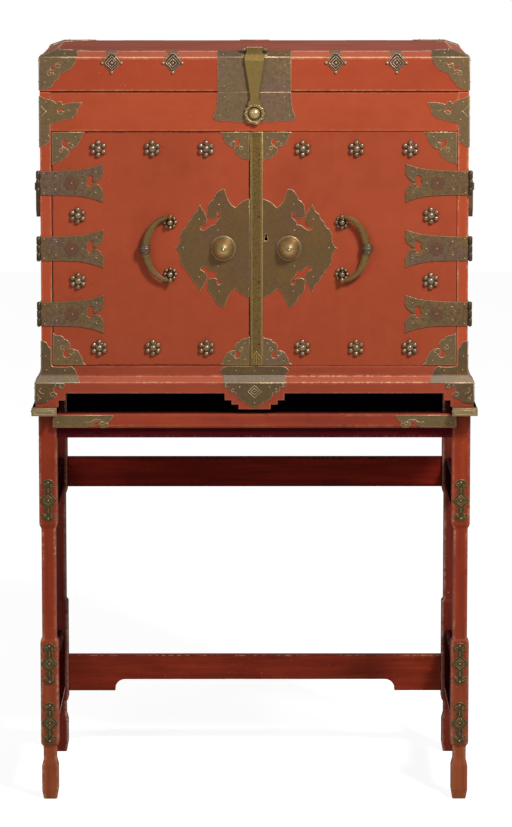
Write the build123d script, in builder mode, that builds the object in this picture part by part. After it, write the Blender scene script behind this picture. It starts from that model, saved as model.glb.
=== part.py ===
from build123d import *
from math import cos, radians, sin
import os

os.makedirs("parts", exist_ok=True)

# Red lacquered cabinet on a stand. Millimetres: X to the right, Y to the back, Z up from the floor.
# The origin is on the floor under the middle of the cabinet, and its two doors face -Y.

# Stand: four square legs, turned down to a thinner shaft and a moulded foot, and their rails
leg_inset_x = 10.0
leg_inset_y = 20.0
leg_width = 33.0
shaft_width = 26.0
ankle_block_width = 32.4
neck_width = 24.0
foot_width = 30.0
sole_width = 23.4
stand_height = 713.6
sole_taper_top = 16.5
foot_top = 63.0
neck_bottom = 74.5
neck_top = 97.0
ankle_block_bottom = 104.5
ankle_block_top = 293.5
shaft_bottom = 298.5
shaft_top = 501.0
top_block_bottom = 510.0
rail_thickness = 20.0
front_rail_height = 44.5
rear_rail_height = 64.0
moulding_end_inset = 10.0
moulding_height = 27.0
moulding_thickness = 10.5
moulding_chamfer = 3.0
upper_rail_bottom = 516.0
upper_rail_height = 56.0
lower_board_bottom = 122.0
lower_board_height = 117.0
lower_stretcher_bottom = 119.0
lower_stretcher_height = 69.0
stretcher_cut_height = 22.0
stretcher_cut_half_length = 268.0
stretcher_cut_radius = 18.0
runner_offset = 4.5
runner_width = 46.0
runner_thickness = 13.0
runner_overhang = 24.0
runner_corner = 2.5

# Case: inset doors between the sides, a shallow tray over them and a lid that lifts
case_width = 768.0
case_depth = 440.0
side_thickness = 20.0
bottom_thickness = 18.0
back_thickness = 12.0
shelf_thickness = 12.0
shelf_rise = 179.0
shelf_setback = 24.0
frieze_height = 70.0
frieze_thickness = 18.0
tray_floor_thickness = 10.0
door_opening_height = 423.0
door_thickness = 20.0
door_gap = 1.0
door_proud = 0.4
meeting_x = -8.0
meeting_gap = 1.6

# Plinth: four boards with a bevelled top and stepped feet
plinth_height = 56.0
plinth_thickness = 20.0
plinth_bevel_out = 11.0
plinth_bevel_rise = 12.0
plinth_foot_length = 41.5
plinth_step_length = 12.5
plinth_foot_height = 25.0
plinth_step_height = 12.0
drop_half_widths = (54.0, 41.6, 29.0)
drop_depths = (12.5, 20.5, 29.0)

# Lid
seam_gap = 0.8
lid_height = 71.0
lid_board = 18.0
lid_bevel_inset = 27.0
lid_bevel_rise = 10.0
lid_corner_margin = 2.0

# Brass plates, hinges and their pins
plate_thickness = 1.5
strap_thickness = 2.0
knuckle_radius = 3.7
knuckle_sides = 12
pin_radius = 1.6
pin_running_clearance = 0.05
knuckle_gap = 0.3
strap_height = 43.0
strap_length = 113.0
strap_tail_height = 68.0
strap_rises = (94.0, 212.0, 330.0)
strap_knuckle_length = 14.0
lid_hinge_x = 210.0
lid_hinge_width = 76.0
lid_hinge_leaf_height = 52.0
lid_knuckle_length = 26.0

# Door fittings, set out from the middle of the cover strip
fittings_x = 3.0
fittings_lift = 1.5
strip_width = 21.8
strip_thickness = 3.0
finial_length = 26.0
finial_half_width = 9.2
door_corner_outer = 58.5
door_corner_inner = 52.0
rosette_low_rise = 33.0
rosette_high_drop = 31.0
rosette_first_x = 86.5
rosette_last_inset = 83.5
rosette_count = 3
rosette_petals = 6
rosette_outer_inset = 46.0
rosette_outer_lift = 1.0
rosette_radius = 15.7
rosette_valley = 11.5
rosette_thickness = 4.0
rosette_dome_radius = 6.5
rosette_dome_height = 3.0
boss_x = 59.0
boss_rings = ((20.5, 0.0), (20.5, 4.0), (17.8, 15.5), (11.5, 25.0), (3.2, 30.5), (0.0, 34.0))
boss_sides = 20
boss_reach = 30.0
keyhole_x = 17.9
keyhole_rise = 16.4
keyhole_radius = 3.0
keyhole_slot_width = 3.0
keyhole_slot_length = 9.0

# Bail pulls on the doors and the carrying handles on the sides
pull_x = 154.2
pull_half_span = 46.8
pull_reach = 44.0
pull_width = 15.0
pull_thickness = 5.0
pull_standoff = 12.0
pull_pin_radius = 2.0
pull_end_width = 8.0
pull_end_offset = 12.0
pull_bead_radius = 10.5
pull_bead_length = 13.0
pull_bead_sides = 8
post_rose_radius = 13.0
post_rose_thickness = 4.0
post_rose_petals = 8
post_head_width = 8.6
carry_rise = 310.0
carry_half_span = 50.0
carry_drop = 52.0
carry_bar_radius = 4.0
carry_bend = 16.0
carry_standoff = 12.0
carry_pin_radius = 2.5
carry_rose_radius = 17.0
carry_head_width = 13.0

# Hasp over the lid's front edge
hasp_axis_inset = 14.0
hasp_axis_rise = 2.7
hasp_knuckle_radius = 5.0
hasp_pin_radius = 2.0
hasp_knuckle_half = 14.0
hasp_leaf_knuckle_end = 23.5
hasp_plate_half = 65.7
hasp_plate_flare = 74.0
hasp_plate_drop = 55.0
hasp_half_width = 18.0
hasp_waist_half = 7.5
hasp_ring_radius = 18.2
hasp_ring_bore = 12.5
hasp_ring_drop = 38.5
hasp_waist_drop = 11.0
hasp_standoff = 4.0
hasp_thickness = 3.0
stud_radius = 10.5
stud_height = 3.4

# Lock behind the right door
lock_width = 48.0
lock_height = 44.0
lock_depth = 11.0
lock_wall = 2.0
bolt_entry = 9.0
bolt_height = 12.0
bolt_thickness = 5.0
bolt_length = 34.0
bolt_clearance = 0.4
keeper_wall = 2.0

# Levels and faces that follow from the sizes above
runner_top = stand_height + runner_thickness
case_bottom_z = runner_top + plinth_height
opening_bottom = case_bottom_z + bottom_thickness
opening_top = opening_bottom + door_opening_height
case_top = opening_top + frieze_height
lid_bottom = case_top + seam_gap
lid_top_z = lid_bottom + lid_height
lid_edge_top = lid_top_z - lid_bevel_rise
half_width = case_width / 2
half_depth = case_depth / 2
inside_half = half_width - side_thickness
leg_centre_x = half_width - leg_inset_x
leg_centre_y = half_depth - leg_inset_y
moulding_half_length = leg_centre_x - moulding_end_inset
runner_centre_x = leg_centre_x + runner_offset
leg_front = leg_centre_y + leg_width / 2
rail_half_x = leg_centre_x - leg_width / 2
rail_half_y = leg_centre_y - leg_width / 2
plinth_half_x = half_width + plinth_bevel_out
plinth_half_y = half_depth + plinth_bevel_out
door_face = half_depth + door_proud
door_back = door_face - door_thickness
door_bottom = opening_bottom + door_gap
door_top = opening_top - door_gap
door_outer = inside_half - door_gap
left_meeting = meeting_x - meeting_gap / 2
right_meeting = meeting_x + meeting_gap / 2
strip_right = right_meeting + strip_width
door_axis_x = half_width + knuckle_radius
door_axis_y = half_depth + knuckle_radius
lid_axis_z = case_top + seam_gap / 2
shelf_height = opening_bottom + shelf_rise
carry_height = opening_bottom + carry_rise
strap_centre_heights = [opening_bottom + rise for rise in strap_rises]
fittings_height = (opening_bottom + opening_top) / 2 + fittings_lift
rosette_rows = (opening_bottom + rosette_low_rise, opening_top - rosette_high_drop)
rosette_pitch = (door_outer - rosette_last_inset - rosette_first_x) / (rosette_count - 1)
rosette_outer_x = door_outer - rosette_outer_inset
rosette_outer_rows = [
    (low + high) / 2 + rosette_outer_lift for low, high in zip(strap_centre_heights, strap_centre_heights[1:])
]
hasp_axis_y = half_depth - hasp_axis_inset
hasp_bevel_z = lid_edge_top + hasp_axis_inset * lid_bevel_rise / lid_bevel_inset
hasp_axis_z = hasp_bevel_z + hasp_knuckle_radius + hasp_axis_rise
hasp_back = half_depth + plate_thickness + hasp_standoff
hasp_front = hasp_back + hasp_thickness


def save(piece, name):
    """Label a finished piece and write its file."""
    piece.part.label = name
    export_step(piece.part, f"parts/{name}.step")


def board(low, high):
    """Add a straight board between two opposite corners to the piece being made."""
    middle = [(a + b) / 2 for a, b in zip(low, high)]
    with Locations(tuple(middle)):
        Box(high[0] - low[0], high[1] - low[1], high[2] - low[2])


def outline(points, scale=1.0, flip_x=1, flip_y=1, at=(0.0, 0.0)):
    """Sketch through (x, y, bow) points; a bow bulges the edge that ends at its point.

    Points run clockwise, so a positive bow bulges outwards and a negative one is hollow.
    """
    with BuildSketch() as shape:
        with BuildLine():
            start = points[-1]
            for end in points:
                a = (at[0] + start[0] * scale * flip_x, at[1] + start[1] * scale * flip_y)
                b = (at[0] + end[0] * scale * flip_x, at[1] + end[1] * scale * flip_y)
                if end[2]:
                    SagittaArc(a, b, end[2] * scale * flip_x * flip_y)
                elif start[:2] != end[:2]:
                    Line(a, b)
                start = end
        make_face()
    return shape.sketch


def reflected(half):
    """Carry an outline on by its reflection about the x axis, last point first."""
    bows = [point[2] for point in half[1:]] + [0.0]
    back = [(x, -y, bow) for (x, y, _), bow in zip(half, bows)]
    return half + back[::-1]


def mirrored(half):
    """Carry an outline on by its mirror image about the y axis, last point first."""
    bows = [point[2] for point in half[1:]] + [0.0]
    back = [(-x, y, bow) for (x, y, _), bow in zip(half, bows)]
    return half + back[::-1]


def front_plane(y_forward):
    """Plane facing the front at a distance in front of the middle, with local x and y as X and Z."""
    return Plane.XZ.offset(y_forward)


# ---------------------------------------------------------------- stand

leg_sections = (
    (0.0, sole_width),
    (sole_taper_top, foot_width),
    (foot_top, foot_width),
    (neck_bottom, neck_width),
    (neck_top, neck_width),
    (ankle_block_bottom, ankle_block_width),
    (ankle_block_top, ankle_block_width),
    (shaft_bottom, shaft_width),
    (shaft_top, shaft_width),
    (top_block_bottom, leg_width),
    (stand_height, leg_width),
)

for row_name, row_y in (("front_legs", -leg_centre_y), ("rear_legs", leg_centre_y)):
    with BuildPart() as legs:
        for level, width in leg_sections:
            with BuildSketch(Plane((leg_centre_x, row_y, level))):
                Rectangle(width, width)
        loft(ruled=True)
        mirror(about=Plane.YZ)
    save(legs, row_name)

with BuildPart() as apron_rails:
    board(
        (-rail_half_x, -leg_front, stand_height - front_rail_height),
        (rail_half_x, rail_thickness - leg_front, stand_height),
    )
    board(
        (-rail_half_x, leg_front - rail_thickness, stand_height - rear_rail_height),
        (rail_half_x, leg_front, stand_height),
    )
save(apron_rails, "apron_rails")

# The moulding laps over the inner edges of the front legs
with BuildPart() as front_moulding:
    board(
        (-moulding_half_length, -leg_front - moulding_thickness, stand_height - moulding_height),
        (moulding_half_length, -leg_front, stand_height),
    )
    front_edges = front_moulding.edges().filter_by(Axis.X).group_by(Axis.Y)[0]
    chamfer(front_edges, moulding_chamfer)
save(front_moulding, "front_moulding")

ankle_half_y = leg_centre_y - ankle_block_width / 2
with BuildPart() as side_rails:
    board(
        (leg_centre_x - rail_thickness / 2, -rail_half_y, upper_rail_bottom),
        (leg_centre_x + rail_thickness / 2, rail_half_y, upper_rail_bottom + upper_rail_height),
    )
    board(
        (leg_centre_x - rail_thickness / 2, -ankle_half_y, lower_board_bottom),
        (leg_centre_x + rail_thickness / 2, ankle_half_y, lower_board_bottom + lower_board_height),
    )
    mirror(about=Plane.YZ)
save(side_rails, "side_rails")

with BuildPart() as rear_upper_stretcher:
    board(
        (-rail_half_x, leg_centre_y - rail_thickness / 2, upper_rail_bottom),
        (rail_half_x, leg_centre_y + rail_thickness / 2, upper_rail_bottom + upper_rail_height),
    )
save(rear_upper_stretcher, "rear_upper_stretcher")

# The lower stretcher is cut up between its ends, with rounded inner corners
stretcher_half = leg_centre_x - ankle_block_width / 2
stretcher_top = lower_stretcher_bottom + lower_stretcher_height
cut_top = lower_stretcher_bottom + stretcher_cut_height
with BuildPart() as rear_lower_stretcher:
    with BuildSketch(front_plane(rail_thickness / 2 - leg_centre_y)):
        with BuildLine():
            Polyline(
                (-stretcher_half, stretcher_top),
                (stretcher_half, stretcher_top),
                (stretcher_half, lower_stretcher_bottom),
                (stretcher_cut_half_length, lower_stretcher_bottom),
            )
            Line(
                (stretcher_cut_half_length, lower_stretcher_bottom),
                (stretcher_cut_half_length, cut_top - stretcher_cut_radius),
            )
            RadiusArc(
                (stretcher_cut_half_length, cut_top - stretcher_cut_radius),
                (stretcher_cut_half_length - stretcher_cut_radius, cut_top),
                -stretcher_cut_radius,
            )
            Line(
                (stretcher_cut_half_length - stretcher_cut_radius, cut_top),
                (stretcher_cut_radius - stretcher_cut_half_length, cut_top),
            )
            RadiusArc(
                (stretcher_cut_radius - stretcher_cut_half_length, cut_top),
                (-stretcher_cut_half_length, cut_top - stretcher_cut_radius),
                -stretcher_cut_radius,
            )
            Polyline(
                (-stretcher_cut_half_length, cut_top - stretcher_cut_radius),
                (-stretcher_cut_half_length, lower_stretcher_bottom),
                (-stretcher_half, lower_stretcher_bottom),
                (-stretcher_half, stretcher_top),
            )
        make_face()
    extrude(amount=-rail_thickness)
save(rear_lower_stretcher, "rear_lower_stretcher")

# Runners carry the plinth and stand out in front of and behind it
runner_half = plinth_half_y + runner_overhang
with BuildPart() as runners:
    board(
        (runner_centre_x - runner_width / 2, -runner_half, stand_height),
        (runner_centre_x + runner_width / 2, runner_half, runner_top),
    )
    chamfer(runners.edges().filter_by(Axis.Y), runner_corner)
    mirror(about=Plane.YZ)
save(runners, "runners")

with BuildPart() as runner_end_caps:
    with BuildSketch(front_plane(runner_half)):
        with Locations((runner_centre_x, stand_height + runner_thickness / 2)):
            Rectangle(runner_width, runner_thickness)
    extrude(amount=plate_thickness)
    chamfer(runner_end_caps.edges().filter_by(Axis.Y), runner_corner)
    mirror(about=Plane.XZ)
    mirror(about=Plane.YZ)
save(runner_end_caps, "runner_end_caps")

# Brass straps at the ends of the moulding, each with a scrolled inner end
strap_end_length = 112.0
strap_end_height = 20.0
moulding_strap_points = [
    (0.0, 0.0, 0.0),
    (0.0, strap_end_height, 0.0),
    (92.0, strap_end_height, 0.0),
    (strap_end_length, 15.0, 3.0),
    (98.0, 10.0, -2.0),
    (104.0, 4.0, 2.0),
    (92.0, 0.0, 1.5),
]
with BuildPart() as moulding_straps:
    with BuildSketch(front_plane(leg_front + moulding_thickness)):
        add(outline(
            moulding_strap_points,
            at=(-moulding_half_length, stand_height - moulding_chamfer - strap_end_height),
        ))
    extrude(amount=plate_thickness)
    mirror(about=Plane.YZ)
save(moulding_straps, "moulding_straps")

# Leg mounts: a lozenge between two cloud lobes, three up the front of each front leg
leg_mount_heights = (142.5, 252.5, 554.0)
leg_mount_half_height = 38.5
leg_mount_half_width = 14.5
leg_mount_quarter = [
    (0.0, leg_mount_half_height, 0.0),
    (8.5, 34.5, 0.0),
    (11.5, 27.5, 0.0),
    (9.0, 20.5, 0.0),
    (5.0, 16.5, 0.0),
    (leg_mount_half_width, 0.0, 0.0),
]
leg_mount_points = mirrored(reflected(leg_mount_quarter))
with BuildPart() as leg_mounts:
    for height in leg_mount_heights:
        block = ankle_block_width if height < shaft_bottom else leg_width
        with BuildSketch(front_plane(leg_centre_y + block / 2)):
            add(outline(leg_mount_points, at=(leg_centre_x, height)))
        extrude(amount=plate_thickness)
    mirror(about=Plane.YZ)
save(leg_mounts, "leg_mounts")

# ---------------------------------------------------------------- plinth

foot_inner = plinth_half_x - plinth_foot_length
step_inner = foot_inner - plinth_step_length
apron_z = runner_top + plinth_foot_height
step_z = runner_top + plinth_step_height
foot_profile = [(foot_inner, runner_top), (foot_inner, step_z), (step_inner, step_z), (step_inner, apron_z)]
drop_profile = []
level = apron_z
for half, depth in zip(drop_half_widths, drop_depths):
    drop_profile.append((half, level))
    level = apron_z - depth
    drop_profile.append((half, level))

with BuildPart() as plinth_front:
    right_half = [(plinth_half_x, case_bottom_z), (plinth_half_x, runner_top)] + foot_profile + drop_profile
    left_half = [(-x, z) for x, z in right_half[::-1]]
    with BuildSketch(front_plane(plinth_half_y)):
        with BuildLine():
            Polyline(*right_half, *left_half, close=True)
        make_face()
    extrude(amount=-plinth_thickness)
    top_edges = plinth_front.edges().group_by(Axis.Z)[-1]
    front_top = top_edges.filter_by(Axis.X).sort_by(Axis.Y)[0]
    front_face = plinth_front.faces().sort_by(Axis.Y)[0]
    chamfer(front_top, plinth_bevel_rise, plinth_bevel_out, reference=front_face)
    for side in (0, -1):
        end_face = plinth_front.faces().filter_by(Axis.X).sort_by(Axis.X)[side]
        end_top = end_face.edges().group_by(Axis.Z)[-1].filter_by(Axis.Y)
        chamfer(end_top, plinth_bevel_rise, plinth_bevel_out, reference=end_face)
save(plinth_front, "plinth_front")

with BuildPart() as plinth_back:
    right_half = [(plinth_half_x, case_bottom_z), (plinth_half_x, runner_top)] + foot_profile
    left_half = [(-x, z) for x, z in right_half[::-1]]
    with BuildSketch(front_plane(-plinth_half_y)):
        with BuildLine():
            Polyline(*right_half, *left_half, close=True)
        make_face()
    extrude(amount=plinth_thickness)
    top_edges = plinth_back.edges().group_by(Axis.Z)[-1]
    back_top = top_edges.filter_by(Axis.X).sort_by(Axis.Y)[-1]
    back_face = plinth_back.faces().sort_by(Axis.Y)[-1]
    chamfer(back_top, plinth_bevel_rise, plinth_bevel_out, reference=back_face)
    for side in (0, -1):
        end_face = plinth_back.faces().filter_by(Axis.X).sort_by(Axis.X)[side]
        end_top = end_face.edges().group_by(Axis.Z)[-1].filter_by(Axis.Y)
        chamfer(end_top, plinth_bevel_rise, plinth_bevel_out, reference=end_face)
save(plinth_back, "plinth_back")

plinth_side_half = plinth_half_y - plinth_thickness
with BuildPart() as plinth_sides:
    board(
        (plinth_half_x - plinth_thickness, -plinth_side_half, runner_top),
        (plinth_half_x, plinth_side_half, case_bottom_z),
    )
    outer_face = plinth_sides.faces().sort_by(Axis.X)[-1]
    outer_top = outer_face.edges().sort_by(Axis.Z)[-1]
    chamfer(outer_top, plinth_bevel_rise, plinth_bevel_out, reference=outer_face)
    mirror(about=Plane.YZ)
save(plinth_sides, "plinth_sides")

# ---------------------------------------------------------------- case

with BuildPart() as case_bottom:
    board((-inside_half, -half_depth, case_bottom_z), (inside_half, half_depth, opening_bottom))
save(case_bottom, "case_bottom")

with BuildPart() as case_sides:
    board((inside_half, -half_depth, case_bottom_z), (half_width, half_depth, case_top))
    mirror(about=Plane.YZ)
save(case_sides, "case_sides")

back_inner = half_depth - back_thickness
with BuildPart() as case_back:
    board((-inside_half, back_inner, opening_bottom), (inside_half, half_depth, case_top))
save(case_back, "case_back")

with BuildPart() as frieze_board:
    board((-inside_half, -half_depth, opening_top), (inside_half, frieze_thickness - half_depth, case_top))
save(frieze_board, "frieze_board")

with BuildPart() as tray_floor:
    board(
        (-inside_half, frieze_thickness - half_depth, opening_top),
        (inside_half, back_inner, opening_top + tray_floor_thickness),
    )
save(tray_floor, "tray_floor")

with BuildPart() as shelf:
    board(
        (-inside_half, shelf_setback - half_depth, shelf_height),
        (inside_half, back_inner, shelf_height + shelf_thickness),
    )
save(shelf, "shelf")

# Brass on the case's corners: cloud brackets on the frieze, angles at the bottom and caps on the plinth
frieze_mount_points = [
    (0.0, 0.0, 0.0),
    (27.0, -12.0, 0.0),
    (38.5, -10.3, 0.0),
    (40.0, -14.5, 0.0),
    (54.0, -10.7, 0.0),
    (75.8, -11.5, 0.0),
    (65.5, -24.0, -2.0),
    (66.0, -32.0, 0.0),
    (56.5, -42.0, 2.0),
    (46.8, -41.0, 0.0),
    (18.5, -50.0, 0.0),
    (17.5, -73.0, 0.0),
    (14.5, -87.0, 0.0),
    (0.0, -91.0, 0.0),
]
frieze_mount_top = case_top - 8.0
angle_height = 62.0
angle_leg_width = 17.3
angle_foot_height = 14.2
angle_points = [
    (0.0, 0.0, 0.0),
    (0.0, angle_height, 0.0),
    (angle_leg_width, angle_height - 12.0, 4.0),
    (angle_leg_width, angle_foot_height, 0.0),
    (55.0, angle_foot_height, 0.0),
    (63.5, 0.0, 3.5),
]
plinth_cap_points = [
    (0.0, 0.0, 0.0),
    (52.0, 0.0, 0.0),
    (51.0, -9.0, 0.0),
    (45.0, -12.5, 0.0),
    (40.0, -5.0, 0.0),
    (31.0, -15.0, 0.0),
    (39.0, -21.0, 0.0),
    (28.0, -30.0, 3.5),
    (17.0, -35.5, 0.0),
    (0.0, -38.0, 0.0),
]
bevel_cap_length = 80.0

with BuildPart() as frieze_corner_mounts:
    with BuildSketch(front_plane(half_depth)):
        add(outline(frieze_mount_points, at=(-half_width, frieze_mount_top)))
        with Locations((33.0 - half_width, frieze_mount_top - 26.0)):
            SlotOverall(13.0, 6.5, rotation=-35, mode=Mode.SUBTRACT)
    extrude(amount=plate_thickness)
    mirror(about=Plane.YZ)
save(frieze_corner_mounts, "frieze_corner_mounts")


def plinth_form(extra):
    """Solid of the plinth's bevelled outside, grown outwards by extra."""
    with BuildPart() as form:
        with BuildSketch(Plane.XY.offset(case_bottom_z - plinth_bevel_rise)):
            Rectangle(2 * (plinth_half_x + extra), 2 * (plinth_half_y + extra))
        with BuildSketch(Plane.XY.offset(case_bottom_z)):
            Rectangle(2 * (half_width + extra), 2 * (half_depth + extra))
        loft(ruled=True)
    return form.part


bevel_low = case_bottom_z - plinth_bevel_rise
with BuildPart() as base_corner_mounts:
    add(plinth_form(plate_thickness))
    add(plinth_form(0.0), mode=Mode.SUBTRACT)
    cap_middle_x = plinth_half_x - bevel_cap_length / 2 + plate_thickness
    cap_middle_y = -plinth_half_y + bevel_cap_length / 2 - plate_thickness
    with BuildSketch(Plane.XY.offset(bevel_low)):
        with Locations((cap_middle_x, cap_middle_y)):
            Rectangle(bevel_cap_length, bevel_cap_length)
    extrude(amount=plinth_bevel_rise, mode=Mode.INTERSECT)
    with BuildSketch(front_plane(plinth_half_y)):
        add(outline(plinth_cap_points, flip_x=-1, at=(plinth_half_x, bevel_low)))
    extrude(amount=plate_thickness)
    with BuildSketch(front_plane(half_depth)):
        add(outline(angle_points, flip_x=-1, at=(half_width, case_bottom_z + plate_thickness)))
    extrude(amount=plate_thickness)
    mirror(about=Plane.YZ)
save(base_corner_mounts, "base_corner_mounts")

centre_mount_half = 62.0
centre_shield_half = 45.0
rail_plate_half_height = 8.5
rail_plate_half = [
    (-centre_mount_half, 0.0, 0.0),
    (-56.0, rail_plate_half_height, 0.0),
    (56.0, rail_plate_half_height, 0.0),
    (centre_mount_half, 0.0, 0.0),
]
shield_right = [
    (centre_shield_half, 0.0, 0.0),
    (41.0, -11.0, 0.0),
    (28.0, -22.0, 3.5),
    (15.0, -32.0, 3.5),
    (0.0, -45.0, 0.0),
]
with BuildPart() as base_centre_mount:
    add(plinth_form(plate_thickness))
    add(plinth_form(0.0), mode=Mode.SUBTRACT)
    with BuildSketch(Plane.XY.offset(bevel_low)):
        with Locations((0, -plinth_half_y)):
            Rectangle(2 * centre_shield_half, 4 * plinth_bevel_out)
    extrude(amount=plinth_bevel_rise, mode=Mode.INTERSECT)
    with BuildSketch(front_plane(plinth_half_y)):
        add(outline(mirrored(shield_right), at=(0.0, bevel_low)))
    extrude(amount=plate_thickness)
    with BuildSketch(front_plane(half_depth)):
        add(outline(reflected(rail_plate_half), at=(0.0, case_bottom_z + rail_plate_half_height)))
    extrude(amount=plate_thickness)
save(base_centre_mount, "base_centre_mount")

# ---------------------------------------------------------------- lid


def lid_form(extra):
    """Solid of the lid's bevelled top, grown outwards by extra."""
    with BuildPart() as form:
        with BuildSketch(Plane.XY.offset(lid_edge_top)):
            Rectangle(case_width + 2 * extra, case_depth + 2 * extra)
        with BuildSketch(Plane.XY.offset(lid_top_z)):
            Rectangle(
                case_width - 2 * (lid_bevel_inset - extra),
                case_depth - 2 * (lid_bevel_inset - extra),
            )
        loft(ruled=True)
    return form.part


lid_board_bottom = lid_top_z - lid_board
with BuildPart() as lid_top:
    board((-half_width, -half_depth, lid_board_bottom), (half_width, half_depth, lid_edge_top))
    add(lid_form(0.0))
save(lid_top, "lid_top")

with BuildPart() as lid_long_boards:
    board((-half_width, -half_depth, lid_bottom), (half_width, lid_board - half_depth, lid_board_bottom))
    mirror(about=Plane.XZ)
save(lid_long_boards, "lid_long_boards")

with BuildPart() as lid_ends:
    board(
        (half_width - lid_board, lid_board - half_depth, lid_bottom),
        (half_width, half_depth - lid_board, lid_board_bottom),
    )
    mirror(about=Plane.YZ)
save(lid_ends, "lid_ends")

# One corner bracket outline serves the lid and the doors: two cloud lobes and an open scroll between
corner_size = 58.5
corner_points = [
    (0.0, 0.0, 0.0),
    (0.0, corner_size, 0.0),
    (17.9, 51.2, 0.0),
    (27.5, 45.5, 0.0),
    (31.0, 36.9, 0.0),
    (26.5, 29.0, 0.0),
    (19.5, 33.0, 0.0),
    (15.0, 24.5, 0.0),
    (24.0, 15.0, 0.0),
    (33.0, 15.5, 0.0),
    (26.5, 24.0, 0.0),
    (40.0, 29.8, 0.0),
    (45.4, 23.2, 0.0),
    (53.5, 13.0, 0.0),
    (corner_size, 0.0, 0.0),
]
lid_corner_scale = (lid_edge_top - lid_bottom - lid_corner_margin) / corner_size
lid_cap_reach = corner_size * lid_corner_scale
lid_cap_middle = lid_cap_reach / 2 - plate_thickness

with BuildPart() as lid_corner_mounts:
    add(lid_form(plate_thickness))
    add(lid_form(0.0), mode=Mode.SUBTRACT)
    with BuildSketch(Plane.XY.offset(lid_edge_top)):
        with Locations((half_width - lid_cap_middle, lid_cap_middle - half_depth)):
            Rectangle(lid_cap_reach, lid_cap_reach)
    extrude(amount=lid_bevel_rise, mode=Mode.INTERSECT)
    with BuildSketch(front_plane(half_depth)):
        add(outline(corner_points, lid_corner_scale, -1, -1, at=(half_width, lid_edge_top)))
    extrude(amount=plate_thickness)
    with BuildSketch(Plane.YZ.offset(half_width)):
        add(outline(corner_points, lid_corner_scale, 1, -1, at=(-half_depth, lid_edge_top)))
    extrude(amount=plate_thickness)
    with BuildSketch(Plane.XY.offset(lid_edge_top)):
        with Locations((half_width + plate_thickness / 2, -half_depth - plate_thickness / 2)):
            Rectangle(plate_thickness, plate_thickness)
    extrude(amount=-lid_cap_reach)
    mirror(about=Plane.YZ)
    mirror(about=Plane.XZ)
save(lid_corner_mounts, "lid_corner_mounts")

lozenge_xs = (145.5, 254.5)
lozenge_half_width = 19.0
lozenge_drop = 31.0
lozenge_points = [
    (-lozenge_half_width, -12.5, 0.0),
    (-7.0, 0.0, 0.0),
    (7.0, 0.0, 0.0),
    (lozenge_half_width, -12.5, 0.0),
    (0.0, -lozenge_drop, 0.0),
]
rear_mount_half = 27.5
with BuildPart() as lid_edge_mounts:
    add(lid_form(plate_thickness))
    add(lid_form(0.0), mode=Mode.SUBTRACT)
    with BuildSketch(Plane.XY.offset(lid_edge_top)):
        for x in lozenge_xs:
            with Locations((x, -half_depth), (-x, -half_depth)):
                Rectangle(14.0, 2 * lid_bevel_inset)
        with Locations((0, half_depth)):
            Rectangle(2 * rear_mount_half, 2 * lid_bevel_inset)
    extrude(amount=lid_bevel_rise, mode=Mode.INTERSECT)
    with BuildSketch(front_plane(half_depth)):
        for x in lozenge_xs:
            add(outline(lozenge_points, at=(x, lid_edge_top)))
            add(outline(lozenge_points, at=(-x, lid_edge_top)))
    extrude(amount=plate_thickness)
    with BuildSketch(front_plane(-half_depth)):
        with Locations((0, lid_edge_top - lozenge_drop / 2)):
            Rectangle(2 * rear_mount_half, lozenge_drop)
    extrude(amount=-plate_thickness)
save(lid_edge_mounts, "lid_edge_mounts")

# Back hinges: the case leaf carries the pin and the two outer knuckles, the lid leaf the middle one
lid_axis_y = half_depth + knuckle_radius
leaf_half = lid_hinge_width / 2
leaf_clear = knuckle_radius + knuckle_gap
outer_knuckle_start = lid_knuckle_length / 2 + knuckle_gap


def cross_plane(x):
    """Plane across X at x, with local x and y as Y and Z."""
    return Plane.YZ.offset(x)


with BuildPart() as lid_hinge_upper_leaves:
    add(lid_form(strap_thickness))
    add(lid_form(0.0), mode=Mode.SUBTRACT)
    with BuildSketch(Plane.XY.offset(lid_edge_top)):
        with Locations((lid_hinge_x, half_depth)):
            Rectangle(lid_hinge_width, 2 * lid_bevel_inset)
    extrude(amount=lid_bevel_rise, mode=Mode.INTERSECT)
    board(
        (lid_hinge_x - leaf_half, half_depth, lid_axis_z + leaf_clear),
        (lid_hinge_x + leaf_half, half_depth + strap_thickness, lid_edge_top),
    )
    board(
        (lid_hinge_x - lid_knuckle_length / 2, half_depth, lid_axis_z),
        (lid_hinge_x + lid_knuckle_length / 2, half_depth + strap_thickness, lid_axis_z + leaf_clear),
    )
    with BuildSketch(cross_plane(lid_hinge_x - lid_knuckle_length / 2)):
        with Locations((lid_axis_y, lid_axis_z)):
            RegularPolygon(knuckle_radius, knuckle_sides)
    extrude(amount=lid_knuckle_length)
    with BuildSketch(cross_plane(lid_hinge_x - lid_knuckle_length / 2)):
        with Locations((lid_axis_y, lid_axis_z)):
            Circle(pin_radius + pin_running_clearance)
    extrude(amount=lid_knuckle_length, mode=Mode.SUBTRACT)
    mirror(about=Plane.YZ)
save(lid_hinge_upper_leaves, "lid_hinge_upper_leaves")

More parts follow.
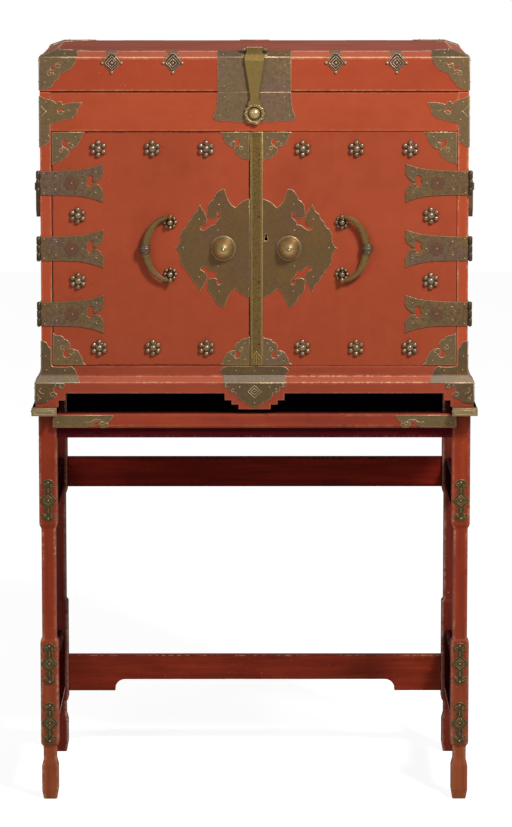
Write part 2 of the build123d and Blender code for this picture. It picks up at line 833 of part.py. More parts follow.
with BuildPart() as lid_hinge_lower_leaves:
    board(
        (lid_hinge_x - leaf_half, half_depth, lid_axis_z - leaf_clear - lid_hinge_leaf_height),
        (lid_hinge_x + leaf_half, half_depth + strap_thickness, lid_axis_z - leaf_clear),
    )
    for start in (lid_hinge_x - leaf_half, lid_hinge_x + outer_knuckle_start):
        end = start + leaf_half - outer_knuckle_start
        board((start, half_depth, lid_axis_z - leaf_clear), (end, half_depth + strap_thickness, lid_axis_z))
        with BuildSketch(cross_plane(start)):
            with Locations((lid_axis_y, lid_axis_z)):
                RegularPolygon(knuckle_radius, knuckle_sides)
        extrude(amount=end - start)
    with BuildSketch(cross_plane(lid_hinge_x - outer_knuckle_start)):
        with Locations((lid_axis_y, lid_axis_z)):
            Circle(pin_radius)
    extrude(amount=2 * outer_knuckle_start)
    mirror(about=Plane.YZ)
save(lid_hinge_lower_leaves, "lid_hinge_lower_leaves")

# ---------------------------------------------------------------- hasp and its plates

scallop = 3.0
lower_plate_right = [
    (hasp_plate_half, 0.0, 0.0),
    (hasp_plate_flare, -44.0, -3.0),
    (66.0, -51.0, 0.0),
    (44.0, -52.0, scallop),
    (22.0, -53.0, scallop),
    (0.0, -hasp_plate_drop, scallop),
]
with BuildPart() as lower_hasp_plate:
    with BuildSketch(front_plane(half_depth)):
        add(outline(mirrored(lower_plate_right), at=(0.0, case_top)))
    extrude(amount=plate_thickness)
save(lower_hasp_plate, "lower_hasp_plate")

with BuildPart() as upper_hasp_plate:
    add(lid_form(plate_thickness))
    add(lid_form(0.0), mode=Mode.SUBTRACT)
    with BuildSketch(Plane.XY.offset(lid_edge_top)):
        with Locations((0, -half_depth)):
            Rectangle(2 * hasp_plate_half, 2 * lid_bevel_inset)
    extrude(amount=lid_bevel_rise, mode=Mode.INTERSECT)
    board(
        (-hasp_plate_half, -half_depth - plate_thickness, lid_bottom),
        (hasp_plate_half, -half_depth, lid_edge_top),
    )
    for start in (-hasp_leaf_knuckle_end, hasp_knuckle_half + knuckle_gap):
        length = hasp_leaf_knuckle_end - hasp_knuckle_half - knuckle_gap
        with BuildSketch(cross_plane(start)):
            with Locations((-hasp_axis_y, hasp_axis_z)):
                Circle(hasp_knuckle_radius)
            with Locations((-hasp_axis_y, (hasp_axis_z + hasp_bevel_z) / 2)):
                Rectangle(hasp_knuckle_radius, hasp_axis_z - hasp_bevel_z)
        extrude(amount=length)
    add(lid_form(0.0), mode=Mode.SUBTRACT)
    with BuildSketch(cross_plane(-hasp_knuckle_half - knuckle_gap)):
        with Locations((-hasp_axis_y, hasp_axis_z)):
            Circle(hasp_pin_radius)
    extrude(amount=2 * (hasp_knuckle_half + knuckle_gap))
save(upper_hasp_plate, "upper_hasp_plate")

ring_z = case_top - hasp_ring_drop
with BuildPart() as hasp_stud:
    with BuildSketch(front_plane(half_depth + plate_thickness)):
        with Locations((0, ring_z)):
            Circle(stud_radius)
    extrude(amount=stud_height)
save(hasp_stud, "hasp_stud")

# The hasp: a bent bar from its knuckle over the lid's edge, tapering to a ring round the stud
waist_z = case_top - hasp_waist_drop
knuckle_top = hasp_axis_z + hasp_knuckle_radius
with BuildPart() as hasp:
    with BuildSketch(Plane.YZ):
        with BuildLine():
            Polyline(
                (-hasp_axis_y, hasp_axis_z - hasp_knuckle_radius + 1.0),
                (-hasp_back + 0.5, lid_edge_top + 2.5),
                (-hasp_back, lid_edge_top - 1.0),
                (-hasp_back, ring_z - hasp_ring_radius),
                (-hasp_front, ring_z - hasp_ring_radius),
                (-hasp_front, lid_edge_top + 1.0),
                (-hasp_front + 2.0, lid_edge_top + 5.0),
                (-hasp_axis_y, hasp_axis_z + 1.0),
                close=True,
            )
        make_face()
    extrude(amount=hasp_half_width, both=True)
    with BuildSketch(cross_plane(-hasp_knuckle_half)):
        with Locations((-hasp_axis_y, hasp_axis_z)):
            Circle(hasp_knuckle_radius)
    extrude(amount=2 * hasp_knuckle_half)
    with BuildSketch(front_plane(0.0)):
        with BuildLine():
            Polyline(
                (-hasp_knuckle_half, knuckle_top),
                (hasp_knuckle_half, knuckle_top),
                (hasp_knuckle_half, lid_edge_top + 4.0),
                (hasp_half_width, lid_edge_top - 1.0),
                (hasp_waist_half, waist_z),
                (hasp_waist_half, ring_z),
                (-hasp_waist_half, ring_z),
                (-hasp_waist_half, waist_z),
                (-hasp_half_width, lid_edge_top - 1.0),
                (-hasp_knuckle_half, lid_edge_top + 4.0),
                close=True,
            )
        make_face()
        with Locations((0, ring_z)):
            Circle(hasp_ring_radius)
            Circle(hasp_ring_bore, mode=Mode.SUBTRACT)
    extrude(amount=hasp_front, mode=Mode.INTERSECT)
    with BuildSketch(cross_plane(-hasp_knuckle_half)):
        with Locations((-hasp_axis_y, hasp_axis_z)):
            Circle(hasp_pin_radius + pin_running_clearance)
    extrude(amount=2 * hasp_knuckle_half, mode=Mode.SUBTRACT)
save(hasp, "hasp")

# ---------------------------------------------------------------- door hinges

tail_half = strap_tail_height / 2
fish_tail_half = [
    (0.0, strap_height / 2, 0.0),
    (57.0, strap_height / 2 + 0.8, 0.0),
    (87.0, 24.6, 0.0),
    (strap_length, tail_half, 0.0),
    (strap_length, 18.0, 0.0),
    (101.0, 13.5, 0.0),
    (99.0, 2.0, 0.0),
    (93.0, 9.5, 0.0),
    (87.0, 11.0, 0.0),
    (83.5, 0.0, 0.0),
]
strap_points = reflected(fish_tail_half)
hinge_sides = ((-1, "left"), (1, "right"))
leaf_knuckle_length = (strap_height - strap_knuckle_length) / 2 - knuckle_gap

# The door straps reach over the stile with a little clearance and end in the middle knuckle,
# which turns on a pin held by the outer knuckles of the leaf on the case's side
for side, side_name in hinge_sides:
    strap_root = side * (half_width - knuckle_gap)
    with BuildPart() as door_straps:
        with BuildSketch(front_plane(door_face)):
            for height in strap_centre_heights:
                add(outline(strap_points, flip_x=-side, at=(strap_root, height)))
        extrude(amount=strap_thickness)
        for height in strap_centre_heights:
            low = height - strap_knuckle_length / 2
            high = height + strap_knuckle_length / 2
            inner, outer = sorted((strap_root, side * door_axis_x))
            board((inner, -door_face - strap_thickness, low), (outer, -door_face, high))
            with BuildSketch(Plane.XY.offset(low)):
                with Locations((side * door_axis_x, -door_axis_y)):
                    RegularPolygon(knuckle_radius, knuckle_sides)
            extrude(amount=strap_knuckle_length)
            with BuildSketch(Plane.XY.offset(low)):
                with Locations((side * door_axis_x, -door_axis_y)):
                    Circle(pin_radius + pin_running_clearance)
            extrude(amount=strap_knuckle_length, mode=Mode.SUBTRACT)
    save(door_straps, f"{side_name}_door_straps")

with BuildPart() as side_hinge_leaves:
    with BuildSketch(Plane.YZ.offset(half_width)):
        for height in strap_centre_heights:
            add(outline(strap_points, at=(knuckle_gap - half_depth, height)))
    extrude(amount=strap_thickness)
    for height in strap_centre_heights:
        for low in (height - strap_height / 2, height + strap_height / 2 - leaf_knuckle_length):
            board(
                (half_width, -door_axis_y, low),
                (half_width + strap_thickness, knuckle_gap - half_depth, low + leaf_knuckle_length),
            )
            with BuildSketch(Plane.XY.offset(low)):
                with Locations((door_axis_x, -door_axis_y)):
                    RegularPolygon(knuckle_radius, knuckle_sides)
            extrude(amount=leaf_knuckle_length)
        with BuildSketch(Plane.XY.offset(height - strap_knuckle_length / 2 - knuckle_gap)):
            with Locations((door_axis_x, -door_axis_y)):
                Circle(pin_radius)
        extrude(amount=strap_knuckle_length + 2 * knuckle_gap)
    mirror(about=Plane.YZ)
save(side_hinge_leaves, "side_hinge_leaves")

# ---------------------------------------------------------------- doors and their brass

# Right half of the pierced lock plate, above its middle, in from the cover strip to the outer point
plate_inner = strip_right - fittings_x
lock_plate_half = [
    (plate_inner, 88.2, 0.0),
    (35.8, 70.6, 5.0),
    (55.6, 105.3, -3.5),
    (73.2, 88.7, 4.5),
    (83.3, 69.9, 5.0),
    (76.1, 53.8, 3.5),
    (62.1, 62.0, 0.0),
    (61.5, 56.5, 0.0),
    (74.4, 41.4, 0.0),
    (84.0, 34.5, 0.0),
    (91.7, 33.7, 0.0),
    (99.0, 34.9, 0.0),
    (86.9, 44.0, 0.0),
    (92.2, 56.6, 0.0),
    (99.5, 76.4, 2.7),
    (115.6, 54.2, -3.5),
    (123.1, 42.2, 0.0),
    (132.7, 30.1, 2.0),
    (136.3, 8.4, 0.0),
    (144.0, 0.0, 0.0),
]
curl_hole = (67.7, 63.9)
curl_hole_radius = 2.6
bail_axis_y = door_face + pull_standoff
keyhole_at = (fittings_x + keyhole_x, fittings_height + keyhole_rise)

outer_corner_scale = door_corner_outer / corner_size
inner_corner_scale = door_corner_inner / corner_size

# The petals of a rosette stand out between the valleys of its outline
rosette_points = []
for turn in range(2 * rosette_petals):
    reach = rosette_valley if turn % 2 else rosette_radius
    angle = radians(180 * turn / rosette_petals)
    rosette_points.append((reach * cos(angle), reach * sin(angle)))
with BuildSketch() as rosette_flower:
    with BuildLine():
        Polyline(*rosette_points, close=True)
    make_face()

for side, side_name in hinge_sides:
    meeting = left_meeting if side < 0 else right_meeting
    outer = side * door_outer
    with BuildPart() as door_panel:
        board((min(meeting, outer), -door_face, door_bottom), (max(meeting, outer), -door_back, door_top))
        if side > 0:
            with BuildSketch(front_plane(door_back)):
                with Locations(keyhole_at):
                    Circle(keyhole_radius)
            extrude(amount=door_thickness, mode=Mode.SUBTRACT)
    save(door_panel, f"{side_name}_door_panel")

    # Brackets on all four corners of the door; the inner pair keeps clear of the cover strip
    inner_edge = left_meeting if side < 0 else strip_right
    with BuildPart() as corner_mounts:
        with BuildSketch(front_plane(door_face)):
            for level, up in ((door_bottom, 1), (door_top, -1)):
                add(outline(corner_points, outer_corner_scale, -side, up, at=(outer, level)))
                add(outline(corner_points, inner_corner_scale, side, up, at=(inner_edge, level)))
        extrude(amount=plate_thickness)
    save(corner_mounts, f"{side_name}_door_corner_mounts")

    rosette_places = [(side * rosette_outer_x, row) for row in rosette_outer_rows]
    for row in rosette_rows:
        for step in range(rosette_count):
            rosette_places.append((side * (rosette_first_x + step * rosette_pitch), row))
    with BuildPart() as rosettes:
        with BuildSketch(front_plane(door_face)):
            with Locations(*rosette_places):
                add(rosette_flower.sketch)
        extrude(amount=rosette_thickness)
        with BuildSketch(front_plane(door_face + rosette_thickness)):
            with Locations(*rosette_places):
                RegularPolygon(rosette_dome_radius, rosette_petals)
        extrude(amount=rosette_dome_height)
    save(rosettes, f"{side_name}_door_rosettes")

    with BuildPart() as lock_plate:
        plate_points = lock_plate_half
        if side < 0:
            plate_points = [(fittings_x - left_meeting, 88.2, 0.0)] + lock_plate_half[1:]
        with BuildSketch(front_plane(door_face)):
            add(outline(reflected(plate_points), flip_x=side, at=(fittings_x, fittings_height)))
            for up in (1, -1):
                with Locations((fittings_x + side * curl_hole[0], fittings_height + up * curl_hole[1])):
                    Circle(curl_hole_radius, mode=Mode.SUBTRACT)
            if side > 0:
                with Locations(keyhole_at):
                    Circle(keyhole_radius, mode=Mode.SUBTRACT)
                with Locations((keyhole_at[0], keyhole_at[1] + keyhole_slot_length / 2)):
                    Rectangle(keyhole_slot_width, keyhole_slot_length, mode=Mode.SUBTRACT)
        extrude(amount=plate_thickness)
    save(lock_plate, f"{side_name}_lock_plate")

    # Pointed domed boss: what its profile, seen from all round, has in common
    boss_half = [(radius, -height, 0.0) for radius, height in boss_rings]
    with BuildPart() as boss:
        for turn in range(boss_sides // 2):
            angle = radians(360 * turn / boss_sides)
            across = Plane(
                origin=(fittings_x + side * boss_x, -door_face - plate_thickness, fittings_height),
                x_dir=(cos(angle), 0, sin(angle)),
                z_dir=(-sin(angle), 0, cos(angle)),
            )
            with BuildSketch(across):
                add(outline(mirrored(boss_half)))
            extrude(amount=boss_reach, both=True, mode=Mode.INTERSECT if turn else Mode.ADD)
    save(boss, f"{side_name}_boss")

    # Rose and drilled head at each end of the pull
    post_x = fittings_x + side * pull_x
    with BuildPart() as pull_posts:
        for up in (1, -1):
            post_z = fittings_height + up * pull_half_span
            with BuildSketch(front_plane(door_face)):
                with Locations((post_x, post_z)):
                    RegularPolygon(post_rose_radius, post_rose_petals)
            extrude(amount=post_rose_thickness)
            with BuildSketch(front_plane(door_face)):
                with Locations((post_x, post_z)):
                    Rectangle(post_head_width, post_head_width)
            extrude(amount=pull_standoff + post_head_width / 2)
            with BuildSketch(Plane.XY.offset(post_z - post_head_width / 2)):
                with Locations((post_x, -bail_axis_y)):
                    Circle(pull_pin_radius + pin_running_clearance)
            extrude(amount=post_head_width, mode=Mode.SUBTRACT)
    save(pull_posts, f"{side_name}_pull_posts")

    # The pull: a flat crescent with a collared bead, pinned into the posts from above and below
    end_z = pull_half_span + pull_end_offset
    outer_tip = pull_reach + pull_width / 2
    with BuildPart() as pull:
        with BuildSketch(front_plane(bail_axis_y - pull_thickness / 2)):
            with BuildLine():
                ThreePointArc(
                    (post_x, fittings_height + end_z + pull_end_width / 2),
                    (post_x + side * outer_tip, fittings_height),
                    (post_x, fittings_height - end_z - pull_end_width / 2),
                )
                Line(
                    (post_x, fittings_height - end_z - pull_end_width / 2),
                    (post_x, fittings_height - end_z + pull_end_width / 2),
                )
                ThreePointArc(
                    (post_x, fittings_height - end_z + pull_end_width / 2),
                    (post_x + side * (outer_tip - pull_width), fittings_height),
                    (post_x, fittings_height + end_z - pull_end_width / 2),
                )
                Line(
                    (post_x, fittings_height + end_z - pull_end_width / 2),
                    (post_x, fittings_height + end_z + pull_end_width / 2),
                )
            make_face()
            with Locations((post_x, fittings_height + end_z), (post_x, fittings_height - end_z)):
                Rectangle(pull_end_width, pull_end_width)
        extrude(amount=pull_thickness)
        with BuildSketch(Plane.XY.offset(fittings_height - pull_bead_length / 2)):
            with Locations((post_x + side * pull_reach, -bail_axis_y)):
                RegularPolygon(pull_bead_radius, pull_bead_sides)
        extrude(amount=pull_bead_length)
        for up in (1, -1):
            pin_start = fittings_height + up * end_z
            with BuildSketch(Plane.XY.offset(pin_start)):
                with Locations((post_x, -bail_axis_y)):
                    Circle(pull_pin_radius)
            extrude(amount=-up * (pull_end_offset + post_head_width / 2))
    save(pull, f"{side_name}_pull")

# The cover strip over the meeting of the doors, with a bud at its foot
with BuildPart() as cover_strip:
    board((right_meeting, -door_face - strip_thickness, door_bottom), (strip_right, -door_face, door_top))
    bud_right = [
        (0.0, finial_length, 0.0),
        (finial_half_width, finial_length * 0.45, 1.5),
        (0.0, 0.0, 3.0),
    ]
    with BuildSketch(front_plane(door_face + strip_thickness)):
        add(outline(mirrored(bud_right), at=(right_meeting + strip_width / 2, door_bottom)))
    extrude(amount=plate_thickness)
save(cover_strip, "cover_strip")

# ---------------------------------------------------------------- lock

lock_x = keyhole_at[0]
lock_z = keyhole_at[1]
lock_left = right_meeting + knuckle_gap
lock_right = lock_left + lock_width
with BuildPart() as lock_case:
    board(
        (lock_left, -door_back, lock_z - lock_height / 2),
        (lock_right, lock_depth - door_back, lock_z + lock_height / 2),
    )
    with Locations(((lock_left + lock_right - lock_wall) / 2, -door_back + lock_depth / 2, lock_z)):
        Box(
            lock_width - lock_wall,
            bolt_thickness + 2 * bolt_clearance,
            bolt_height + 2 * bolt_clearance,
            mode=Mode.SUBTRACT,
        )
    with BuildSketch(front_plane(door_back)):
        with Locations((lock_x, lock_z)):
            Circle(keyhole_radius)
    extrude(amount=-(lock_depth - bolt_thickness) / 2, mode=Mode.SUBTRACT)
save(lock_case, "lock_case")

bolt_y = -door_back + lock_depth / 2
with BuildPart() as lock_bolt:
    board(
        (lock_left, bolt_y - bolt_thickness / 2, lock_z - bolt_height / 2),
        (lock_left + bolt_length, bolt_y + bolt_thickness / 2, lock_z + bolt_height / 2),
    )
save(lock_bolt, "lock_bolt")

# The keeper is a bridge on the back of the left door that the bolt runs into
keeper_width = bolt_entry + 2 * meeting_gap + keeper_wall + bolt_clearance
keeper_half_height = bolt_height / 2 + bolt_clearance + keeper_wall
with BuildPart() as lock_keeper:
    board(
        (left_meeting - keeper_width, -door_back, lock_z - keeper_half_height),
        (left_meeting, lock_depth - door_back, lock_z + keeper_half_height),
    )
    with Locations((left_meeting - keeper_width / 2 + keeper_wall / 2, bolt_y, lock_z)):
        Box(
            keeper_width - keeper_wall,
            bolt_thickness + 2 * bolt_clearance,
            bolt_height + 2 * bolt_clearance,
            mode=Mode.SUBTRACT,
        )
save(lock_keeper, "lock_keeper")

# ---------------------------------------------------------------- carrying handles

carry_axis_x = half_width + carry_standoff
with BuildPart() as carry_posts:
    for y in (-carry_half_span, carry_half_span):
        with BuildSketch(Plane.YZ.offset(half_width)):
            with Locations((y, carry_height)):
                RegularPolygon(carry_rose_radius, post_rose_petals)
        extrude(amount=post_rose_thickness)
        with BuildSketch(Plane.YZ.offset(half_width)):
            with Locations((y, carry_height)):
                Rectangle(carry_head_width, carry_head_width)
        extrude(amount=carry_standoff + carry_head_width / 2)
        with BuildSketch(front_plane(-y - carry_head_width / 2)):
            with Locations((carry_axis_x, carry_height)):
                Circle(carry_pin_radius + pin_running_clearance)
        extrude(amount=carry_head_width, mode=Mode.SUBTRACT)
    mirror(about=Plane.YZ)
save(carry_posts, "carry_handle_posts")

# Half of a bail: down its arm, round the bend to the middle of the grip, and back inside
carry_end = carry_half_span + carry_head_width / 2 + knuckle_gap + carry_bar_radius
carry_outer = carry_end + carry_bar_radius
carry_inner = carry_end - carry_bar_radius
grip_low = carry_height - carry_drop - carry_bar_radius
grip_high = carry_height - carry_drop + carry_bar_radius
bail_outside = [
    (carry_outer, carry_height + carry_bar_radius, 0.0),
    (carry_outer, grip_low + carry_bend, 0.0),
    (carry_outer - carry_bend, grip_low, 0.0),
]
bail_inside = [
    (carry_outer - carry_bend, grip_high, 0.0),
    (carry_inner, grip_low + carry_bend, 0.0),
    (carry_inner, carry_height + carry_bar_radius, 0.0),
]
bail_other_half = [(-y, z, bow) for y, z, bow in (bail_inside + bail_outside)[::-1]]
bail_points = bail_outside + bail_other_half + bail_inside
for side, side_name in hinge_sides:
    with BuildPart() as carry_handle:
        with BuildSketch(Plane.YZ.offset(side * carry_axis_x)):
            add(outline(bail_points))
        extrude(amount=carry_bar_radius, both=True)
        for up in (1, -1):
            with BuildSketch(front_plane(up * carry_end)):
                with Locations((side * carry_axis_x, carry_height)):
                    Circle(carry_pin_radius)
            extrude(amount=-up * (carry_end - carry_half_span + carry_head_width / 2))
    save(carry_handle, f"{side_name}_carry_handle")
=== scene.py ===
import math
import bpy
import bmesh
from mathutils import Matrix, Vector


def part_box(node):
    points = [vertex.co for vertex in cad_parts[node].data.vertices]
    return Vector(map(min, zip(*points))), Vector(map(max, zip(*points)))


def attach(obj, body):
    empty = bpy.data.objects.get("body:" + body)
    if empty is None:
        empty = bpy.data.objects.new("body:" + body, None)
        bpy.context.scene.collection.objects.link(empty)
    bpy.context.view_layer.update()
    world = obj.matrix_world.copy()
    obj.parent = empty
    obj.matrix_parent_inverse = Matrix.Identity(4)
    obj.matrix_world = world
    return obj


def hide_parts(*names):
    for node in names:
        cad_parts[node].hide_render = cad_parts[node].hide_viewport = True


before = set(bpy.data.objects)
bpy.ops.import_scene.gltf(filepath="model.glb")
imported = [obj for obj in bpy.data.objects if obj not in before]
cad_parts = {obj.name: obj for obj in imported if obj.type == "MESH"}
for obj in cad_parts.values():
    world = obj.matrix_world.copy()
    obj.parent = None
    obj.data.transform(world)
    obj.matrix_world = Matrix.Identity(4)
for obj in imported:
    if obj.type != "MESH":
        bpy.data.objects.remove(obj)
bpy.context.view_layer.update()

# ---- stand: legs
# Four square legs of one piece each, softwood under brown-red lacquer. Each is cut in to a thinner
# shaft, an ankle block with soft shoulders, a neck and a foot, and its arrises are rubbed pale.

mm = 0.001
leg_stations = (
    (0, 23), (1.2, 24.6), (15, 29.4), (17, 30.2), (61.5, 30.2), (63.6, 29.4), (73, 24.8), (76, 24), (96, 24),
    (98.5, 25), (103, 31), (106.5, 32.6), (291.5, 32.6), (294, 31.6), (297.5, 26.6), (300, 26), (500, 26),
    (502.5, 27), (508.5, 32.2), (511.5, 33), (667.6, 33), (668.4, 31.8), (669.6, 31.8), (670.4, 33),
    (713.6, 33),
)
leg_x, leg_y = 374.0, 200.0
arris_round = 2.2
rubbed_band = 6.0
seam_half = 0.001


def node(tree, kind, sockets=None, **options):
    """Add a node to a tree, set its options and fill its sockets with values or links."""
    made = tree.nodes.new(kind)
    for key, value in options.items():
        setattr(made, key, value)
    for key, value in (sockets or {}).items():
        if isinstance(value, bpy.types.NodeSocket):
            tree.links.new(value, made.inputs[key])
        else:
            made.inputs[key].default_value = value
    return made


def first(tree, kind, sockets=None, **options):
    """Add a node and give its first output."""
    return node(tree, kind, sockets, **options).outputs[0]


def rgb(red, green, blue):
    """Paint colour from its 0 to 255 values, as the linear colour that a shader wants."""
    parts = [c / 255 for c in (red, green, blue)]
    return tuple(c / 12.92 if c <= 0.04045 else ((c + 0.055) / 1.055) ** 2.4 for c in parts) + (1.0,)


def tinted(colour, *shares):
    """A colour with each channel times its share."""
    return tuple(min(1.0, c * share) for c, share in zip(colour, shares)) + (1.0,)


def blend(tree, share, one, other):
    """Mix two colours by a share."""
    return node(tree, "ShaderNodeMix", {0: share, 6: one, 7: other}, data_type="RGBA").outputs[2]


def sum_of(tree, kind, *values):
    """One Math node on its values, clamped to the 0 to 1 range."""
    return first(tree, "ShaderNodeMath", dict(enumerate(values)), operation=kind, use_clamp=True)


def times(tree, one, other):
    """The product of two shares."""
    return sum_of(tree, "MULTIPLY", one, other)


def z_of(tree, vector):
    """The upright part of a vector."""
    return node(tree, "ShaderNodeSeparateXYZ", {"Vector": vector}).outputs["Z"]


def cloud(tree, place, scale, detail, rough, low, high):
    """Noise at a place, stretched so that its low and high become 0 and 1."""
    grey = first(
        tree, "ShaderNodeTexNoise", {"Vector": place, "Scale": scale, "Detail": detail, "Roughness": rough},
    )
    return first(tree, "ShaderNodeMapRange", {"Value": grey, "From Min": low, "From Max": high})


def stretched(tree, scale=(1.0, 1.0, 1.0), offset=(0.0, 0.0, 0.0)):
    """Object coordinates in metres, squeezed or drawn out along each axis."""
    where = node(tree, "ShaderNodeTexCoord").outputs["Object"]
    return first(tree, "ShaderNodeMapping", {"Vector": where, "Scale": scale, "Location": offset})


def bump(tree, height, strength, distance, over=None):
    """Relief on a surface, laid over other relief if that is given."""
    sockets = {"Height": height, "Strength": strength, "Distance": distance}
    if over is not None:
        sockets["Normal"] = over
    return first(tree, "ShaderNodeBump", sockets)


def material(name):
    """Start a material, and give its tree and its shader too."""
    made = bpy.data.materials.new(name)
    made.use_nodes = True
    return made, made.node_tree, made.node_tree.nodes["Principled BSDF"]


def coated(tree, skin, colour, haze, rough, gloss, relief):
    """Give a shader its colour, a roughness that follows the haze, its gloss and its relief."""
    tree.links.new(colour, skin.inputs["Base Color"])
    dull = first(tree, "ShaderNodeMapRange", {"Value": haze, "To Min": rough[0], "To Max": rough[1]})
    tree.links.new(dull, skin.inputs["Roughness"])
    skin.inputs["Specular IOR Level"].default_value = gloss
    tree.links.new(relief, skin.inputs["Normal"])


def lacquer(name, paint, deep, arris_colour, along, arris_strength, chips, streaks, sheen=0.36, gloss=0.16,
            chip_colour=(206, 164, 122), height_tint=None, seam=None):
    """Lacquer on wood: soft clouds, grain along one axis, a tint by height, an arris colour, small chips, and
    painted shade along a seam.
    """
    made, tree, skin = material(name)
    paint, deep, arris_colour, chip_colour = (rgb(*colour) for colour in (paint, deep, arris_colour, chip_colour))
    squeeze = [34.0] * 3
    squeeze[along] = 2.2
    place = stretched(tree)
    soft = cloud(tree, place, 4.5, 3.0, 0.5, 0.32, 0.70)
    fine = cloud(tree, place, 38.0, 5.0, 0.6, 0.35, 0.72)
    grain = cloud(tree, stretched(tree, squeeze), 3.0, 6.0, 0.62, 0.36, 0.70)
    height = z_of(tree, place)
    colour = blend(tree, soft, paint, deep)
    if height_tint:
        reached = first(
            tree, "ShaderNodeMapRange", {"Value": height, "From Min": height_tint[0], "From Max": height_tint[1]},
        )
        colour = blend(tree, reached, colour, rgb(*height_tint[2]))
    colour = blend(tree, times(tree, grain, streaks), colour, tinted(deep, 0.55, 0.55, 0.55))
    colour = blend(tree, times(tree, fine, 0.16), colour, tinted(paint, 1.18, 1.18, 1.18))
    edge = node(tree, "ShaderNodeAttribute", attribute_name="arris_band").outputs["Fac"]
    ragged = cloud(tree, place, 70.0, 6.0, 0.7, 0.36, 0.66)
    arris_mix = times(tree, sum_of(tree, "POWER", edge, 2.2), arris_strength)
    arris_mix = sum_of(tree, "MULTIPLY_ADD", ragged, 0.55, sum_of(tree, "SUBTRACT", arris_mix, 0.30))
    colour = blend(tree, times(tree, arris_mix, edge), colour, arris_colour)
    broken = cloud(tree, place, 11.0, 3.0, 0.5, 0.44, 0.60)
    chip = times(tree, sum_of(tree, "POWER", edge, 1.4), broken)
    chip = times(tree, chip, cloud(tree, place, 130.0, 4.0, 0.6, 0.50, 0.54))
    colour = blend(tree, times(tree, chip, chips), colour, chip_colour)
    speck = cloud(tree, place, 260.0, 2.0, 0.5, 0.735, 0.76)
    colour = blend(tree, times(tree, speck, chips), colour, chip_colour)
    # Painted shade: upright faces are darkened in a thin band at the seam between lid and case.
    if seam:
        lean = z_of(tree, node(tree, "ShaderNodeTexCoord").outputs["Normal"])
        upright = sum_of(tree, "LESS_THAN", sum_of(tree, "ABSOLUTE", lean), 0.8)
        seam_shade = times(tree, sum_of(tree, "COMPARE", height, seam, seam_half), upright)
        colour = blend(tree, seam_shade, colour, rgb(40, 9, 5))
    relief = bump(tree, soft, 0.25, 0.004, bump(tree, grain, 0.10, 0.0006))
    coated(tree, skin, colour, fine, (sheen, sheen + 0.16), gloss, relief)
    return made


leg_lacquer = lacquer(
    "leg_lacquer", (160, 62, 33), (130, 46, 26), (176, 112, 92), 2, 0.42, 0.45, 0.5, 0.40, 0.12,
    height_tint=(0.34, 0.02, (150, 82, 48)),
)
# The back legs are a darker copy of the leg lacquer, painted shade, and turn near black above about 0.65 m,
# painted shade under the case.
back_leg_lacquer = lacquer(
    "back_leg_lacquer", (128, 46, 30), (96, 32, 24), (176, 138, 126), 2, 0.6, 0.5, 0.7, 0.44, 0.08,
    height_tint=(0.64, 0.66, (8, 3, 3)),
)


def placed(name, data):
    """Put new data in the scene as an object."""
    made = bpy.data.objects.new(name, data)
    bpy.context.scene.collection.objects.link(made)
    return made


def fitted(name, mesh, body, slot, finish, *nodes):
    """Make a finished mesh an object in its place, riding on its body and standing for its CAD nodes."""
    made = placed(name, mesh)
    for skin in finish if isinstance(finish, (list, tuple)) else [finish]:
        mesh.materials.append(skin)
    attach(made, body)
    if nodes:
        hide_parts(*nodes)


def skinned(mesh, choose):
    """Give every face the finish that choose gives for its normal and its centre."""
    for face in mesh.polygons:
        face.material_index = choose(face.normal, face.center)
    return mesh


def metres(spot):
    """A place in millimetres, in the scene's metres."""
    return tuple(c * mm for c in spot)


def band(shape, low, high):
    """Join two like rings of points with a band of faces."""
    for k in range(len(low)):
        j = (k + 1) % len(low)
        shape.faces.new((low[k], low[j], high[j], high[k]))


def turned_square(shape, centre_x, centre_y, stations):
    """Loft a square post with rounded arrises through its stations of (height, width)."""
    arris_band = shape.verts.layers.float["arris_band"]
    rings = []
    for height, width in stations:
        half = width / 2
        bend = half - arris_round * 0.29
        corner = [(half, half - rubbed_band, 0.0), (half, half - arris_round, 0.9), (bend, bend, 1.0)]
        corner += [(along, out, arris_level) for out, along, arris_level in corner[1::-1]]
        rings.append([])
        for turn in range(4):
            across = Vector((math.cos(turn * math.pi / 2), math.sin(turn * math.pi / 2)))
            up = Vector((-across.y, across.x))
            for out, along, arris_level in corner:
                flat = across * out + up * along
                vert = shape.verts.new(metres((centre_x + flat.x, centre_y + flat.y, height)))
                vert[arris_band] = arris_level
                rings[-1].append(vert)
    for low, high in zip(rings, rings[1:]):
        band(shape, low, high)
    shape.faces.new(rings[0][::-1])
    shape.faces.new(rings[-1])


def new_shape():
    """Start a mesh that keeps how near an arris each point is, for the arris colour."""
    shape = bmesh.new()
    shape.verts.layers.float.new("arris_band")
    return shape


def mesh_of(shape):
    """Close a shape into a mesh with its faces outwards."""
    bmesh.ops.recalc_face_normals(shape, faces=shape.faces)
    mesh = bpy.data.meshes.new("piece")
    shape.to_mesh(mesh)
    shape.free()
    return mesh


for row, centre_y, skin in (("front_legs", -leg_y, leg_lacquer), ("rear_legs", leg_y, back_leg_lacquer)):
    shape = new_shape()
    for centre_x in (-leg_x, leg_x):
        turned_square(shape, centre_x, centre_y, leg_stations)
    fitted(row + "_turned", mesh_of(shape), "cabinet", "stand_lacquer", skin, row)

# ---- stand: rails and moulding
# Straight rails let into the legs, planed square, with a plain moulding planted on the front rail.
# The faces inside the stand are painted nearly black, painted shade under the case.

apron_front, apron_half, moulding_half = 216.5, 357.5, 364.0
rail_low, rail_high = 516.0, 572.0
block_top = 713.6


